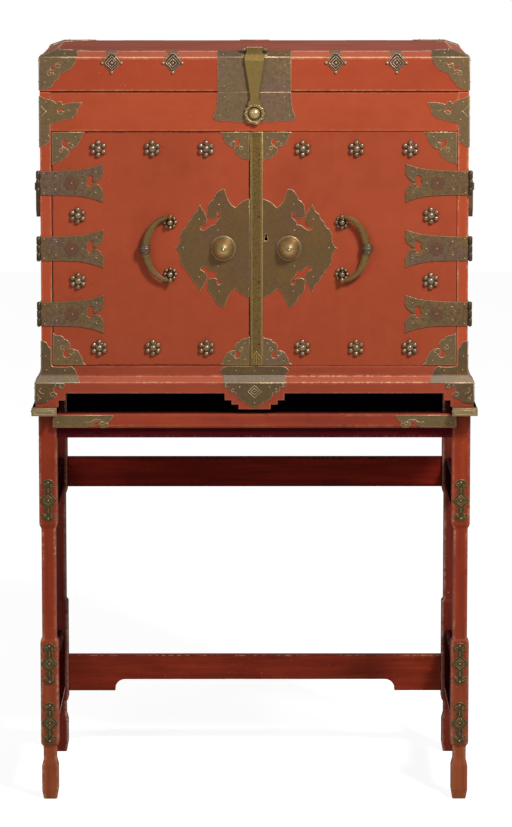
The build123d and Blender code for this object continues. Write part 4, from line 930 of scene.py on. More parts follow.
frieze_mount = {
    "outline": [
        (0, -7, 1), (7, -9.5), (13.8, -12.3), (23.6, -14.9), (29.5, -20.5, 1), (32.1, -16.9), (38, -16.5),
        (41.3, -22.1, 1), (49.9, -20.1), (56.4, -18.5), (66, -18.2), (75.8, -19, 1), (72.2, -25.4),
        (66.6, -30.6, 1), (67.9, -35.9), (64.9, -41.1), (60, -43, 1), (57.7, -47.7), (50.5, -48.6, 1),
        (42.6, -50.3), (32.1, -53.5), (20.3, -56.2), (18, -60.4), (17.7, -71.2), (14.8, -75.8, 1),
        (18.4, -80.4), (17.1, -87), (11.2, -93.5), (0, -99.4, 1),
    ],
    "holes": [
        [(31.5, -32), (36, -28.6), (42.5, -30), (43.8, -35, 1), (40.5, -33.4), (36.8, -33.2), (34, -35.5, 1)],
    ],
    "lines": [
        [(4, -24), (8, -30), (13, -34)], [(4, -36), (9, -33), (13, -27)], [(4, -47), (8, -42), (13, -39)],
        curl((26, -44), 5, 20, 0.8, 1, 0.4), curl((58, -26), 4.4, 160, 0.8, 1, 0.4),
    ],
    "bright": [
        [(31.5, -36.5), (34.5, -39.5), (39, -39.6), (43, -37)], [(49, -31.5), (53, -33.5), (56, -34)],
        [(3, -26), (8, -31), (13, -36)], [(3, -44), (8, -38), (13, -34)],
    ],
    "pins": [(11.2, -17.5), (15.1, -49.3), (11.2, -87)],
}
for side in (-1, 1):
    plate(frieze_mount, (side * case_half, case_top), on_front(case_front), -side)
    plate(frieze_mount, (side * -case_front, case_top), on_side(side, case_half), side)
done("frieze_corner_plates", "cabinet", plate_skins, "frieze_corner_mounts", "frieze_pins")

angle_foot = 784.1
angle_mount = {
    "outline": [
        (0, 0, 1), (0, 62, 1), (5, 61), (10, 58), (12, 53, 1), (16.5, 48), (17.3, 40), (17.3, 22), (18.5, 17),
        (24, 14.6), (44, 14.2), (52, 15.5), (57, 13, 1), (61.5, 8), (63.5, 0, 1),
    ],
    "lines": [[(4, 6), (14, 6), (24, 6), (46, 5.6), (54, 4)], curl((9, 48), 4.4, 90, 0.8, 1, 0.4)],
    "pins": [(7.5, 34), (9, 9), (42, 8)],
}
plinth_cap = {
    "outline": [
        (0, 0, 1), (52, 0, 1), (52.5, -5), (49.5, -10), (44.5, -11.5), (41.5, -8, 1), (37, -7), (33, -10.5),
        (34.5, -16.5), (39.5, -20.5, 1), (35.5, -26.5), (28, -29.5), (22.5, -30.5, 1), (21.5, -34),
        (16.5, -35.8), (0, -38, 1),
    ],
    "lines": [[(4, -33), (10, -32.5), (16, -31)], curl((14, -20), 6, 40, 0.9, 1, 0.35)],
    "bright": [
        curl((46.5, -5.8), 3.6, 90, 0.8, -1, 0.4), curl((31, -21), 5, 60, 0.8, -1, 0.4),
        [(3, -20), (7, -26), (5, -32)], [(6, -12), (10, -18), (16, -19)],
    ],
    "pins": [(9, -10), (9, -28), (36, -4)],
}
shield_half = [
    (57, 0.4, 1), (57, -3.5), (54.5, -7.5), (50, -9), (46, -7, 1), (45.8, -12), (43, -17.5), (37, -19.5),
    (33, -17.5, 1), (32, -24), (26, -30), (17, -34, 1), (12, -39.5), (6, -42), (0, -44, 1),
]
shield = {
    "outline": both_ways(shield_half),
    "lines": [[(-9, -35), (0, -39.5), (9, -35)]] + [
        curl((s * 18, -25), 4.2, 90 + s * 60, 0.9, s, 0.3) for s in (-1, 1)],
    "bright": [
        curl((s * x, z), radius, 90 + s * 30, 0.85, s, 0.35)
        for x, z, radius in ((50.5, -4.5, 3.4), (38.5, -14.0, 3.8)) for s in (-1, 1)],
    "borders": [
        carried([(-x, 0), (0, -z), (x, 0), (0, z), (-x, 0)], (0, -15.5)) for x, z in ((12, 11.5), (6.5, 6))],
    "pins": [(0, -15.5), (0, -36), (27, -7), (-27, -7)],
}
cap_slope = {
    "outline": [(-2, -0.6, 1), (80, -0.6, 1), (80, 3, 1), (78, 9), (75, 16, 1), (10.5, 16, 1)],
    "pins": [(24, 7), (62, 7)],
}
centre_slope = {"outline": both_ways([(58, -0.6, 1), (56, 7), (57, 16.0, 1)]), "pins": [(-44, 8), (44, 8)]}
rail_plate = {
    "outline": both_ways([
        (44, 17), (47, 16.6, 1), (54, 16), (58.5, 13), (62.5, 8.5, 1), (58, 3), (54, 0, 1)]),
    "lines": [[(-50, z), (50, z)] for z in (13.4, 3.4)] + [
        curl((s * 50, 8.4), 3.4, 90 - s * 90, 0.8, -s, 0.4) for s in (-1, 1)],
    "pins": [(-33, 8.4), (0, 8.4), (33, 8.4)],
}
bevel_lay = facing((0, -plinth_front, bevel_foot), (1, 0, 0), (0, bevel_run, 12.0))
for side in (-1, 1):
    plate(angle_mount, (side * case_half, angle_foot), on_front(case_front), -side)
    plate(plinth_cap, (side * plinth_half, bevel_foot), on_front(plinth_front), -side)
    plate(cap_slope, (side * plinth_half, 0.0), bevel_lay, -side, skin=3)
    plate(angle_mount, (side * -case_front, angle_foot), on_side(side, case_half), side)
    plate(plinth_cap, (side * -plinth_front, bevel_foot), on_side(side, plinth_half), side)
    lean = facing((side * plinth_half, 0, bevel_foot), (0, side, 0), (-side * bevel_run, 0, 12.0))
    plate(cap_slope, (side * -plinth_front, 0.0), lean, side, skin=3)
silver_brass = brass("plinth_brass", (110, 88, 58), (76, 60, 38), (112, 88, 68))
worn_slope = brass("worn_slope_brass", (158, 142, 120), (116, 98, 78), (166, 146, 132), 0.36)
base_skins = [silver_brass, rim_brass, pin_brass, worn_slope]
done("base_corner_plates", "cabinet", base_skins, "base_corner_mounts", "base_corner_pins")

plate(shield, (0.0, bevel_foot), on_front(plinth_front))
plate(centre_slope, (0.0, 0.0), bevel_lay, skin=3)
plate(rail_plate, (0.0, 783.0), on_front(case_front))
done("base_centre_plates", "cabinet", base_skins, "base_centre_mount", "base_centre_pins")

# ---- brass: lid corners and lozenges
# The lid's corners are boxed in pierced plates that fold over the bevel on to the top. Small
# lozenges with ball ends hang from bow-shaped tabs on the bevel between them.

lid_corner = {
    "outline": [
        (0, 0, 1), (67, 0, 1), (64.8, -6.8), (61.7, -13.5), (56.7, -19.6), (48.7, -24.5), (39.4, -28.1),
        (35.6, -28.9, 1), (35.6, -33), (33.2, -38.5), (28.2, -41.5, 1), (25.7, -45.2), (20.8, -52.5),
        (10.9, -56.2), (0, -59, 1),
    ],
    "holes": [
        [
            (19.5, -19.5), (22, -15.5, 1), (25, -17), (28.8, -15, 1), (27.5, -19.5), (26, -23.3, 1),
            (22.5, -22.5),
        ],
        [(28.5, -12, 1), (34, -9), (40.6, -9.5, 1), (36.5, -12.5)],
    ],
    "lines": [
        [(4, -49), (11, -49), (17, -45)], [(44, -4), (52, -13), (58, -5)],
        curl((46, -14), 5, 200, 0.8, 1, 0.4),
    ],
    "bright": [
        curl((33, -15.5), 6, 150, 0.8, 1, 0.45), curl((18, -28.5), 5.6, 60, 1.1, -1, 0.35),
        [(22.5, -26.5), (26, -29.5), (30.5, -30.5)],
    ],
    "pins": [(10.5, -6.2), (52.4, -6.8), (9, -44)],
}
slope_run, slope_rise, slope_length = 27.0, 10.0, 28.8
lid_lay = facing((0, -case_front, lid_break), (1, 0, 0), (0, slope_run, slope_rise))
corner_slope = {
    "outline": [
        (-0.6, -0.4, 1), (67.5, -0.4, 1), (69, 8), (66, 17), (68, slope_length, 1), (27.2, slope_length, 1),
    ],
    "pins": [(44, 15)],
}
lozenge = {
    "outline": both_ways([(3.5, 7, 1), (15.2, -8, 1), (15.2, -11.4, 1), (1.8, -25.2, 1)]),
    "borders": [
        carried([(-x, 0), (0, z), (x, 0), (0, -z), (-x, 0)], (0, -9.7))
        for x, z in ((12.4, 12.6), (7.4, 7.4))],
}
bow_tab = {
    "outline": both_ways([(16.8, 0, 1), (16.2, 2, 1), (11, 4.5), (7.5, 11), (9, 20), (12, 27.5, 1)]),
    "pins": [(0, 6)],
}
for row in (-1, 1):
    for side in (-1, 1):
        flip = row * side
        long_face = facing((0, row * case_front, 0), (-row, 0, 0), (0, 0, 1))
        plate(lid_corner, (-flip * case_half, lid_break), long_face, flip)
        plate(lid_corner, (flip * case_front, lid_break), on_side(side, case_half), -flip)
        lean = facing((0, row * case_front, lid_break), (-row, 0, 0), (0, -row * slope_run, slope_rise))
        plate(corner_slope, (-flip * case_half, 0.0), lean, flip)
        lean = facing((side * case_half, 0, lid_break), (0, side, 0), (-side * slope_run, 0, slope_rise))
        plate(corner_slope, (flip * case_front, 0.0), lean, -flip)
        top = facing((0, 0, lid_top), (1, 0, 0), (0, 1, 0))
        plate(lid_corner, (side * 357.5, row * 193.5), top, -side, row, 0.9, 1.2)
done("lid_corner_plates", "lid", plate_skins, "lid_corner_mounts", "lid_corner_pins")

lozenge_xs = (-254.5, -145.5, 145.5, 254.5)
for middle in lozenge_xs:
    plate(lozenge, (middle, lid_break), on_front(case_front), thickness=1.8)
    plate(bow_tab, (middle, 0.0), lid_lay, thickness=1.4, skin=3)
rear_tab = {"outline": both_ways([(27.5, 0, 1), (27.5, slope_length, 1)]), "pins": [(-18, 12), (18, 12)]}
rear_drop = {
    "outline": both_ways([(27.5, 0.6, 1), (26, -14), (22, -24), (12, -29), (0, -31)]),
    "pins": [(-18, -8), (18, -8)],
}
rear_bevel = facing((0, case_front, lid_break), (-1, 0, 0), (0, -slope_run, slope_rise))
plate(rear_tab, (0.0, 0.0), rear_bevel, skin=3)
plate(rear_drop, (0.0, lid_break), facing((0, case_front, 0), (-1, 0, 0), (0, 0, 1)), skin=3)
lozenge_brass = brass("lozenge_brass", (86, 64, 52), (56, 40, 32), (96, 72, 62), 0.42)
tab_brass = brass("tab_brass", (150, 132, 108), (104, 86, 66), (156, 134, 118), 0.4)
lozenge_skins = [lozenge_brass, rim_brass, pin_brass, tab_brass]
done("lid_lozenges", "lid", lozenge_skins, "lid_edge_mounts", "lid_lozenge_pins")
balls = [
    ((middle + x, -221.2, lid_break + z), front)
    for middle in lozenge_xs for x, z in ((-17, -9.7), (17, -9.7), (0, -26.6))
]
pins("lid_lozenge_balls", "lid", balls, 3.0, 2.4)
pins("lid_lozenge_centres", "lid", [((x, -222.0, 1345.7), front) for x in lozenge_xs], 2.6, 2.2)

# ---- brass: hasp
# A flared plate in two halves, cut through at the lid's seam, and a bent bar that hangs from a
# knuckle on the bevel and ends in a beaded ring round a ribbed stud.

upper_plate = {
    "outline": both_ways([(65.7, 0.4, 1), (65.7, -61, 1)]),
    "lines": [[(-62.5, -58), (-62.5, -3), (62.5, -3), (62.5, -58)]],
    "pins": [(-54.5, -14), (-54.5, -52), (54.5, -14), (54.5, -52)],
}
lower_plate = {
    "outline": both_ways([
        (65.7, 0, 1), (66.3, -14), (68.5, -30), (74, -44.5, 1), (70.5, -49.5), (62, -51.8), (50, -51.5),
        (42, -50.5, 1), (36, -53.5), (28, -54), (20, -52, 1), (12, -55), (0, -56.5)]),
    "lines": [line for s in (-1, 1) for line in (
        curl((s * 41.5, -27.5), 13, 90 + s * 70, 1.5, s, 0.12, 20),
        curl((s * 27, -15), 5, 90 - s * 70, 0.8, -s, 0.3),
        [(s * 62.3, -3), (s * 63, -14), (s * 65, -29), (s * 69.5, -43)],
        [(s * 54, -10), (s * 58, -18), (s * 56, -26)])],
    "pins": [(-54, -9), (54, -9), (-62.5, -41.5), (62.5, -41.5)],
}
over_bevel = {"outline": both_ways([(65.7, -0.3, 1), (65.7, slope_length, 1)]), "pins": [(-56, 9), (56, 9)]}
hasp_y, hasp_z = 206.0, 1368.3
ring_z = 1255.1
hasp_plate_brass = brass("hasp_plate_brass", (134, 110, 80), (84, 66, 46), (138, 108, 94), 0.44, 1.05, 0.2)
hasp_skins = [hasp_plate_brass, rim_brass, pin_brass]


def turned(profile, matrix, steps=28, skin=0):
    """Turn a profile of (radius, height) in millimetres about its axis."""
    shape = bmesh.new()
    rings = []
    for radius, height in profile:
        turns = [2 * math.pi * k / steps for k in range(steps)] if radius > 0.01 else [0.0]
        spots = [(radius * math.cos(a), radius * math.sin(a), height) for a in turns]
        rings.append([shape.verts.new(metres(spot)) for spot in spots])
    for low, high in zip(rings, rings[1:]):
        for k in range(steps):
            j = (k + 1) % steps
            ring = [low[k % len(low)], low[j % len(low)], high[j % len(high)], high[k % len(high)]]
            ring = list(dict.fromkeys(ring))
            if len(ring) > 2:
                shape.faces.new(ring)
    for ring in (rings[0], rings[-1]):
        if len(ring) > 1:
            shape.faces.new(ring)
    made = mesh_of(shape)
    for face in made.polygons:
        face.use_smooth = len(face.vertices) < 6
        face.material_index = skin
    made.transform(matrix)
    return made


def along_x(x):
    """Matrix for a turned piece of the hasp's hinge, whose axis lies across the cabinet."""
    return facing((x, -hasp_y, hasp_z), (0, 1, 0), (0, 0, 1))


def knuckle(length, radius=5.0):
    """Profile of a hinge knuckle with rounded ends, standing on its lower end."""
    return [(radius - 1.0, 0.0), (radius, 0.8), (radius, length - 0.8), (radius - 1.0, length)]


def oblong(low_x, low_z, high_x, high_z):
    """The four corners of an upright oblong."""
    return [(low_x, low_z), (high_x, low_z), (high_x, high_z), (low_x, high_z)]


plate(upper_plate, (0.0, lid_break), on_front(case_front))
plate(over_bevel, (0.0, 0.0), lid_lay)
for start in (-23.5, 14.3):
    lay(turned(knuckle(9.2), along_x(start)))
    lay(sheet([oblong(start, 4.0, start + 9.2, 14.0)], 3.0, 0.8), lid_lay)
done("upper_hasp_leaf", "lid", hasp_skins, "upper_hasp_plate", "upper_hasp_pins")
plate(lower_plate, (0.0, case_top), on_front(case_front))
done("lower_hasp_leaf", "cabinet", hasp_skins, "lower_hasp_plate", "lower_hasp_pins")

gold_brass = brass("worn_gold_brass", (172, 144, 84), (128, 102, 54), (176, 142, 92), 0.36, 1.0, 0.14, 0.85)
gold_rim = brass("gold_rim", (196, 170, 112), (150, 122, 72), (206, 178, 124), 0.34, 0.5)
gold_skins = [gold_brass, gold_rim, pin_brass]


def swept(stations, rounding):
    """Loft a bar through stations of (centre, across, up, half width, half thickness), all in millimetres."""
    shape = bmesh.new()
    rings = []
    for centre, across, up, half, thick in stations:
        across, up = Vector(across).normalized(), Vector(up).normalized()
        corner = min(half, thick) * rounding
        rings.append([])
        for sx, sz in ((1, 1), (-1, 1), (-1, -1), (1, -1)):
            ends = [(half, thick - corner), (half - corner, thick)][::sx * sz]
            for x, z in ends:
                rings[-1].append(shape.verts.new((Vector(centre) + across * x * sx + up * z * sz) * mm))
    for low, high in zip(rings, rings[1:]):
        band(shape, low, high)
    shape.faces.new(rings[0])
    shape.faces.new(rings[-1])
    return mesh_of(shape)


side_line = [
    (-206, 1371.5, 14), (-212, 1369, 14.2), (-218.5, 1364.8, 14.6), (-223.5, 1360, 16.4),
    (-226.2, 1355.5, 18), (-227, 1350, 18), (-227, 1340, 16.4), (-227, 1325, 13.8), (-227, 1305, 10.6),
    (-227, 1287, 7.8), (-227, 1281, 8.2), (-227, 1276, 11), (-227, 1271, 13),
]
stations = []
for k, (y, z, half) in enumerate(side_line):
    before, after = side_line[max(k - 1, 0)], side_line[min(k + 1, len(side_line) - 1)]
    run = Vector((0, after[0] - before[0], after[1] - before[1]))
    stations.append(((0, y, z), (1, 0, 0), run.cross(Vector((1, 0, 0))), half, 1.5))
lay(swept(stations, 0.6))
lay(turned(knuckle(28.0), along_x(-14.0)))


def circle(x, z, radius, count, petals=0, swell=0.0):
    """Points round a circle, whose rim may swell into petals."""
    made = []
    for k in range(count):
        angle = 2 * math.pi * k / count
        reach = radius + swell * math.cos(petals * angle)
        made.append((x + reach * math.cos(angle), z + reach * math.sin(angle)))
    return made


lay(sheet([circle(0.0, ring_z, 17.6, 96, 12, 0.9), circle(0.0, ring_z, 13.0, 36)], 3.0, 1.1), on_front(225.5))
tail = [(-3, -15.5), (1, -19.5), (6.5, -19), (9, -15), (5.5, -16), (2, -14)]
lay(sheet([flowing(tail, (0.0, ring_z))], 3.4, 0.9), on_front(225.5))
frill = [(k * 3.5 - 14, 1371.8 + k % 2 * 1.4) for k in range(9)]
lay(wire([frill], 2.2, 0.0), on_front(209.5))
done("hasp_bar", "hasp", gold_skins, "hasp", slot="polished_brass")
turns = [math.radians(360 / 14 * (k + 0.5)) for k in range(14)]
beads = [((15.3 * math.cos(a), -228.6, ring_z + 15.3 * math.sin(a)), front) for a in turns]
pins("hasp_beads", "hasp", beads, 1.7, 1.2)

stud_profile = [(10.5, 0), (10.5, 1.2), (9.8, 3), (8, 5.2), (5, 7), (2.2, 7.8), (0, 8)]
stud_bright = brass("stud_brass", (196, 172, 120), (140, 112, 70), (206, 180, 140), 0.30, 0.7)
stud = turned(stud_profile, on_front(221.5, 0.0, ring_z), 32)
fitted("hasp_stud_dome", stud, "cabinet", "polished_brass", stud_bright, "hasp_stud")

# ---- doors: panels
# Each door is one broad board between the case sides, framed only by its brass. The right one is
# bored for the key. The left one keeps a bare edge that the right one's cover strip closes over.

sides = ((-1, "left"), (1, "right"))
door_foot, door_top, door_side = 801.6, 1222.6, 363.0
door_front, door_back = 220.4, 200.4
key_x, key_z = 20.9, 1030.0
# The door lacquer darkens towards the bottom, painted shade from light that falls from above. Its arrises and
# chips are painted near black, painted shade in the gaps round the door.
door_red = lacquer(
    "door_lacquer", (172, 75, 45), (150, 64, 38), (40, 12, 10), 2, 0.75, 0.6, 0.06, chip_colour=(50, 16, 12),
    height_tint=(1.25, 0.80, (154, 66, 39)),
)

shape = new_shape()
board(shape, (-door_side, -door_front, door_foot), (-8.8, -door_back, door_top), 0.6, 3.0)
fitted("left_door_board", mesh_of(shape), "left_door", "red_lacquer", door_red, "left_door_panel")

shape = new_shape()
turns = [(k + 0.5) * math.pi / 4 for k in range(8)]
bore = [(key_x + 3.0 * math.sin(a), key_z + 3.0 * math.cos(a)) for a in turns]
corners = [(door_side, door_top), (door_side, door_foot), (-7.2, door_foot), (-7.2, door_top)]
outers, inners = [], []
for y in (-door_front, -door_back):
    outer, inner = [[shape.verts.new(metres((x, y, z))) for x, z in line] for line in (corners, bore)]
    for k in range(4):
        near = inner[(2 * k + 2) % 8]
        shape.faces.new((outer[k], outer[(k + 1) % 4], near))
        shape.faces.new((outer[k], near, inner[2 * k + 1]))
        shape.faces.new((outer[k], inner[2 * k + 1], inner[2 * k]))
    outers.append(outer)
    inners.append(inner)
band(shape, *outers)
band(shape, *inners)
fitted("right_door_board", mesh_of(shape), "right_door", "red_lacquer", door_red, "right_door_panel")

# ---- doors: strap hinges
# Each door hangs on three straps with fish tails, whose middle knuckle turns on a pin between the
# two knuckles of a like leaf on the case's side. The straps are chased and nailed through.

strap = {
    "outline": [
        (0.3, 21.5, 1), (22, 21.7), (42.3, 22.4), (68.9, 24.2), (90.7, 27.8), (102.8, 31.4), (113, 34.6, 1),
        (112.2, 29), (112.4, 24.2, 1), (113.2, 19.4), (111.6, 13.7, 1), (108.5, 9), (105.2, 6.5, 1),
        (101.5, 3), (97, 1.6), (94.2, 3.4), (93.7, 8), (95, 12.1, 1), (91.5, 14.6), (86.8, 13.2), (84, 9.4),
        (85.2, 5.2, 1), (82.4, 1), (84, -4.5), (88, -7), (92.5, -5.5), (94, -1.5, 1), (98.7, -0.6),
        (105.5, -3.5), (108.8, -8, 1), (112, -13), (113.2, -19), (112, -24.5, 1), (112.6, -29),
        (113, -34.6, 1), (102.8, -31), (90.7, -27.2), (68.9, -23.2), (42.3, -22), (22, -21.6),
        (0.3, -21.5, 1),
    ],
    "lines": [
        [(8, 16.5), (42, 16.5), (42, -16.5), (8, -16.5), (8, 16.5)], curl((25, 0), 11, 90, 1.7, 1, 0.1, 20),
        curl((13, 10), 3.6, 0, 0.9, 1, 0.3), curl((13, -10), 3.6, 0, 0.9, -1, 0.3),
        curl((37, 10), 3.6, 180, 0.9, -1, 0.3), curl((37, -10), 3.6, 180, 0.9, 1, 0.3),
        curl((76, 12), 5.4, 200, 1.1, 1, 0.3), curl((76, -12), 5.4, 160, 1.1, -1, 0.3),
        [(80, 21), (96, 24.5), (106, 28)], [(80, -20.5), (96, -24), (106, -27.5)],
    ],
    "bright": [
        [(84, -9), (88.5, -12.6), (93.5, -12), (96.5, -8)], [(95.5, -14.5), (99, -12), (103.5, -12.5)],
        [(97, 6), (101.5, 8), (105, 12)],
    ],
    "pins": [(27.8, 12.9), (27, -11.2), (99.5, 20.2), (99.1, -16.8), (75, 0), (6, 17.5), (6, -17.5)],
}
strap_brass = brass("strap_brass", (130, 104, 70), (84, 66, 46), (130, 102, 88), 0.42, 1.3)
medal_brass = brass("medallion_brass", (120, 84, 62), (88, 60, 44), (118, 82, 68))
knuckle_brass = brass("knuckle_brass", (84, 66, 42), (56, 44, 28), (88, 68, 50), 0.40)
strap_rim = brass("strap_rim", (158, 130, 94), (110, 88, 60), (166, 134, 108), 0.42, 0.7)
strap_skins = [strap_brass, strap_rim, pin_brass, medal_brass, knuckle_brass]
strap_heights = (894.6, 1012.6, 1130.6)
hinge_x, hinge_y = 387.7, 223.7
knuckle_half = 6.7


def strap_leaf(origin, lay_on, flip):
    """One fish-tailed leaf with its raised medallion."""
    plate(strap, origin, lay_on, flip, thickness=2.0)
    medallion = carried(circle(56.0, 0.0, 12.8, 48, 8, 0.7), origin, flip)
    lay(skinned(sheet([medallion], 2.6, 0.5), lambda normal, centre: 3), lay_on)
    ring = carried(circle(56.0, 0.0, 12.8 * 0.55, 48, 8, 0.7 * 0.55), origin, flip)
    lay(wire([ring], 0.9, 2.5, True, 3), lay_on)
    pinned(lay_on, origin[0] + 56.0 * flip, origin[1], 2.9)


def hung(profile, side, z, steps=28, skin=4):
    """Lay a turned piece on the upright axis of a door's hinges."""
    lay(turned(profile, Matrix.Translation(metres((side * hinge_x, -hinge_y, z))), steps, skin))


for side, name in sides:
    for height in strap_heights:
        strap_leaf((side * 383.7, height), on_front(door_front), -side)
        hung(knuckle(2 * knuckle_half, 3.7), side, height - knuckle_half)
        low_x, high_x = sorted((side * 383.0, side * 387.0))
        lay(
            sheet([oblong(low_x, height - knuckle_half, high_x, height + knuckle_half)], 1.9, 0.2),
            on_front(221.4),
        )
    done(name + "_straps", name + "_door", strap_skins, name + "_door_straps", name + "_strap_pins", 1.7, 1.5)

for side in (-1, 1):
    beside = on_side(side, case_half)
    for height in strap_heights:
        strap_leaf((side * -219.7, height), beside, side)
        for low in (height - 21.5, height + 7.3):
            hung(knuckle(14.2, 3.7), side, low)
            low_y, high_y = sorted((side * -223.0, side * -218.0))
            lay(sheet([oblong(low_y, low, high_y, low + 14.2)], 1.8, 0.2), beside)
        hung([(1.6, 0.0), (1.6, 43.0)], side, height - 21.5, 12, 0)
        for level in (height - 22.6, height + 21.4):
            hung([(2.2, 0.0), (2.4, 0.6), (1.6, 1.3), (0.0, 1.5)], side, level, 12, 0)
done("side_leaves", "cabinet", strap_skins, "side_hinge_leaves", "side_leaf_pins", 1.7, 1.5)

# ---- doors: corner plates
# Pierced cloud brackets on all four corners of each door, the pair by the meeting edge smaller.

door_corner = {
    "outline": [
        (0.3, 0.3, 1), (59.5, 0.3, 1), (57.5, 3.2), (53.8, 5, 1), (53.5, 10.6), (50.2, 17.4), (47.8, 21, 1),
        (45.5, 25.5), (40, 28.8), (34.5, 30.8), (30.2, 30.2), (27.6, 26.5), (28.4, 21.5), (31.5, 18.2, 1),
        (27.5, 15.2), (22.5, 14.6), (18.8, 18), (18.6, 23), (21.5, 27, 1), (26.5, 29.5), (30.5, 33),
        (31.2, 38.1), (28.6, 42.2, 1), (25.9, 46.4), (20.4, 47.4, 1), (18.9, 51), (14.7, 53.6),
        (10.1, 54.8, 1), (5.5, 55.2), (2, 57.5), (0.3, 60, 1),
    ],
    "lines": [
        [(38, 5), (48, 5), (52, 3)], [(4, 40), (5, 48), (4, 54)], curl((45, 13), 4.2, 200, 0.9, 1, 0.3),
        curl((19.5, 41), 3.6, 240, 0.8, -1, 0.3),
    ],
    "bright": [
        curl((17.5, 32), 4.8, 80, 0.95, -1, 0.4), [(27.5, 20), (31, 20.5), (34.5, 19)],
        curl((36, 24.5), 3.6, 120, 0.7, 1, 0.5),
    ],
    "pins": [(9.2, 11.5), (42.3, 8.8), (9.2, 45)],
}
for (side, name), inner_edge in zip(sides, (-8.8, 14.6)):
    for level, up in ((door_foot, 1), (door_top, -1)):
        plate(door_corner, (side * door_side, level), on_front(door_front), -side, up)
        plate(door_corner, (inner_edge, level), on_front(door_front), side, up, 0.889)
    done(
        name + "_door_corners", name + "_door", plate_skins, name + "_door_corner_mounts",
        name + "_corner_pins",
    )

# ---- doors: lock plates
# A pair of pierced plates meet under the cover strip as one great cloud scroll. The right one has
# the keyhole, and each carries a boss.

lock_outline = [
    (-8.2, 1102.5, 1), (-16, 1100.2), (-25, 1095.2), (-34, 1086.5, 1), (-42, 1093), (-49.2, 1105.5),
    (-53.4, 1120.2, 1), (-58.8, 1119.5), (-64.5, 1116.5), (-70.5, 1109), (-73.2, 1101, 1), (-79, 1097),
    (-83.8, 1090), (-84.2, 1082, 1), (-85.6, 1075), (-83.4, 1069.9), (-77, 1067.6), (-70, 1068),
    (-66.4, 1071.5), (-67.2, 1076, 1), (-64.8, 1079.6), (-61, 1078.6), (-59.6, 1074), (-62.5, 1068.5),
    (-68, 1062), (-71, 1056, 1), (-78, 1054.5), (-84, 1050), (-89.5, 1046.5), (-95.6, 1047), (-97, 1051.5),
    (-92, 1055, 1), (-87.5, 1058.5), (-85.2, 1065.5), (-87.5, 1074), (-92.5, 1083), (-98.2, 1092.6, 1),
    (-103, 1081), (-110.5, 1074, 1), (-113.5, 1066), (-119.5, 1060, 1), (-121.5, 1053.5), (-128.5, 1048, 1),
    (-131, 1042), (-134, 1036.5, 1), (-133.2, 1029), (-135.5, 1022, 1), (-138.5, 1016.5), (-143.2, 1013.6, 1),
]
strip_x, lock_z = 3.0, 1013.6
lock_half = [(strip_x - x, z - lock_z, *flag) for x, z, *flag in lock_outline[1:]]
lock_plate = {
    "lines": [
        curl((68, 62.5), 7.2, 100, 0.9, -1, 0.4), curl((68, -62.5), 7.2, -100, 0.9, 1, 0.4),
        [(60, 96), (66, 92), (70, 84)], [(64, 100), (71, 95), (75, 88)], curl((96, 46), 6, 250, 0.8, 1, 0.4),
        curl((96, -46), 6, 110, 0.8, -1, 0.4), [(100, 62), (101, 70), (98, 76)],
        [(128, 14), (133, 8), (136, 2)],
    ],
    "pins": [
        (66.8, 78.4), (102.5, 52.1), (68.7, 32.4), (130.9, 0.5), (66.8, -78.4), (102.5, -52.1), (68.7, -32.4),
        (13.6, 74.5), (13.6, -74.5),
    ],
}
keyhole = [
    (14.3, 15.8), (15.4, 13.2), (17.9, 12.2), (20.4, 13.2), (21.5, 15.8), (19.6, 19.2, 1), (19, 26, 1),
    (16.8, 26, 1), (16.2, 19.2, 1),
]
for (side, name), inner_x in zip(sides, (11.8, 11.4)):
    upper = [(inner_x, 88.9, 1)] + lock_half
    spec = {**lock_plate, "outline": upper + [(x, -z, *flag) for x, z, *flag in upper[-2::-1]]}
    if name == "right":
        spec["holes"] = [keyhole]
        spec["pins"] = spec["pins"][:-2]
    plate(spec, (strip_x, lock_z), on_front(door_front), side)
    if name == "right":
        turns = [math.radians(degrees) for degrees in range(120, 421, 20)]
        rim = [(key_x + 3.6 * math.cos(a), key_z + 3.6 * math.sin(a)) for a in turns]
        lay(wire([rim], 0.9, 1.5), on_front(door_front))
        # A thin near-black sheet round the key's bore is painted shade, so the keyhole reads as a dark hole.
        keyhole_shade = sheet([oblong(15.5, 1024.5, 26.5, 1041.0), circle(key_x, key_z, 2.9, 24)], 0.5, 0.05)
        lay(skinned(keyhole_shade, lambda normal, centre: 3), on_front(door_front))
    lock_skin = brass(name + "_lock_brass", (122, 94, 58), (92, 68, 44), (118, 86, 80), 0.40)
    lock_skins = [lock_skin, rim_brass, pin_brass, painted_shade]
    done(
        name + "_cloud_plate", name + "_door", lock_skins, name + "_lock_plate", name + "_plate_pins", 1.7,
        1.4,
    )

# ---- doors: rosettes and bosses
# Rosettes of six ball petals round a dome, cast and riveted through the doors. The bosses on the
# lock plates are spun to a ringed cone with a nipple, and polished by use.


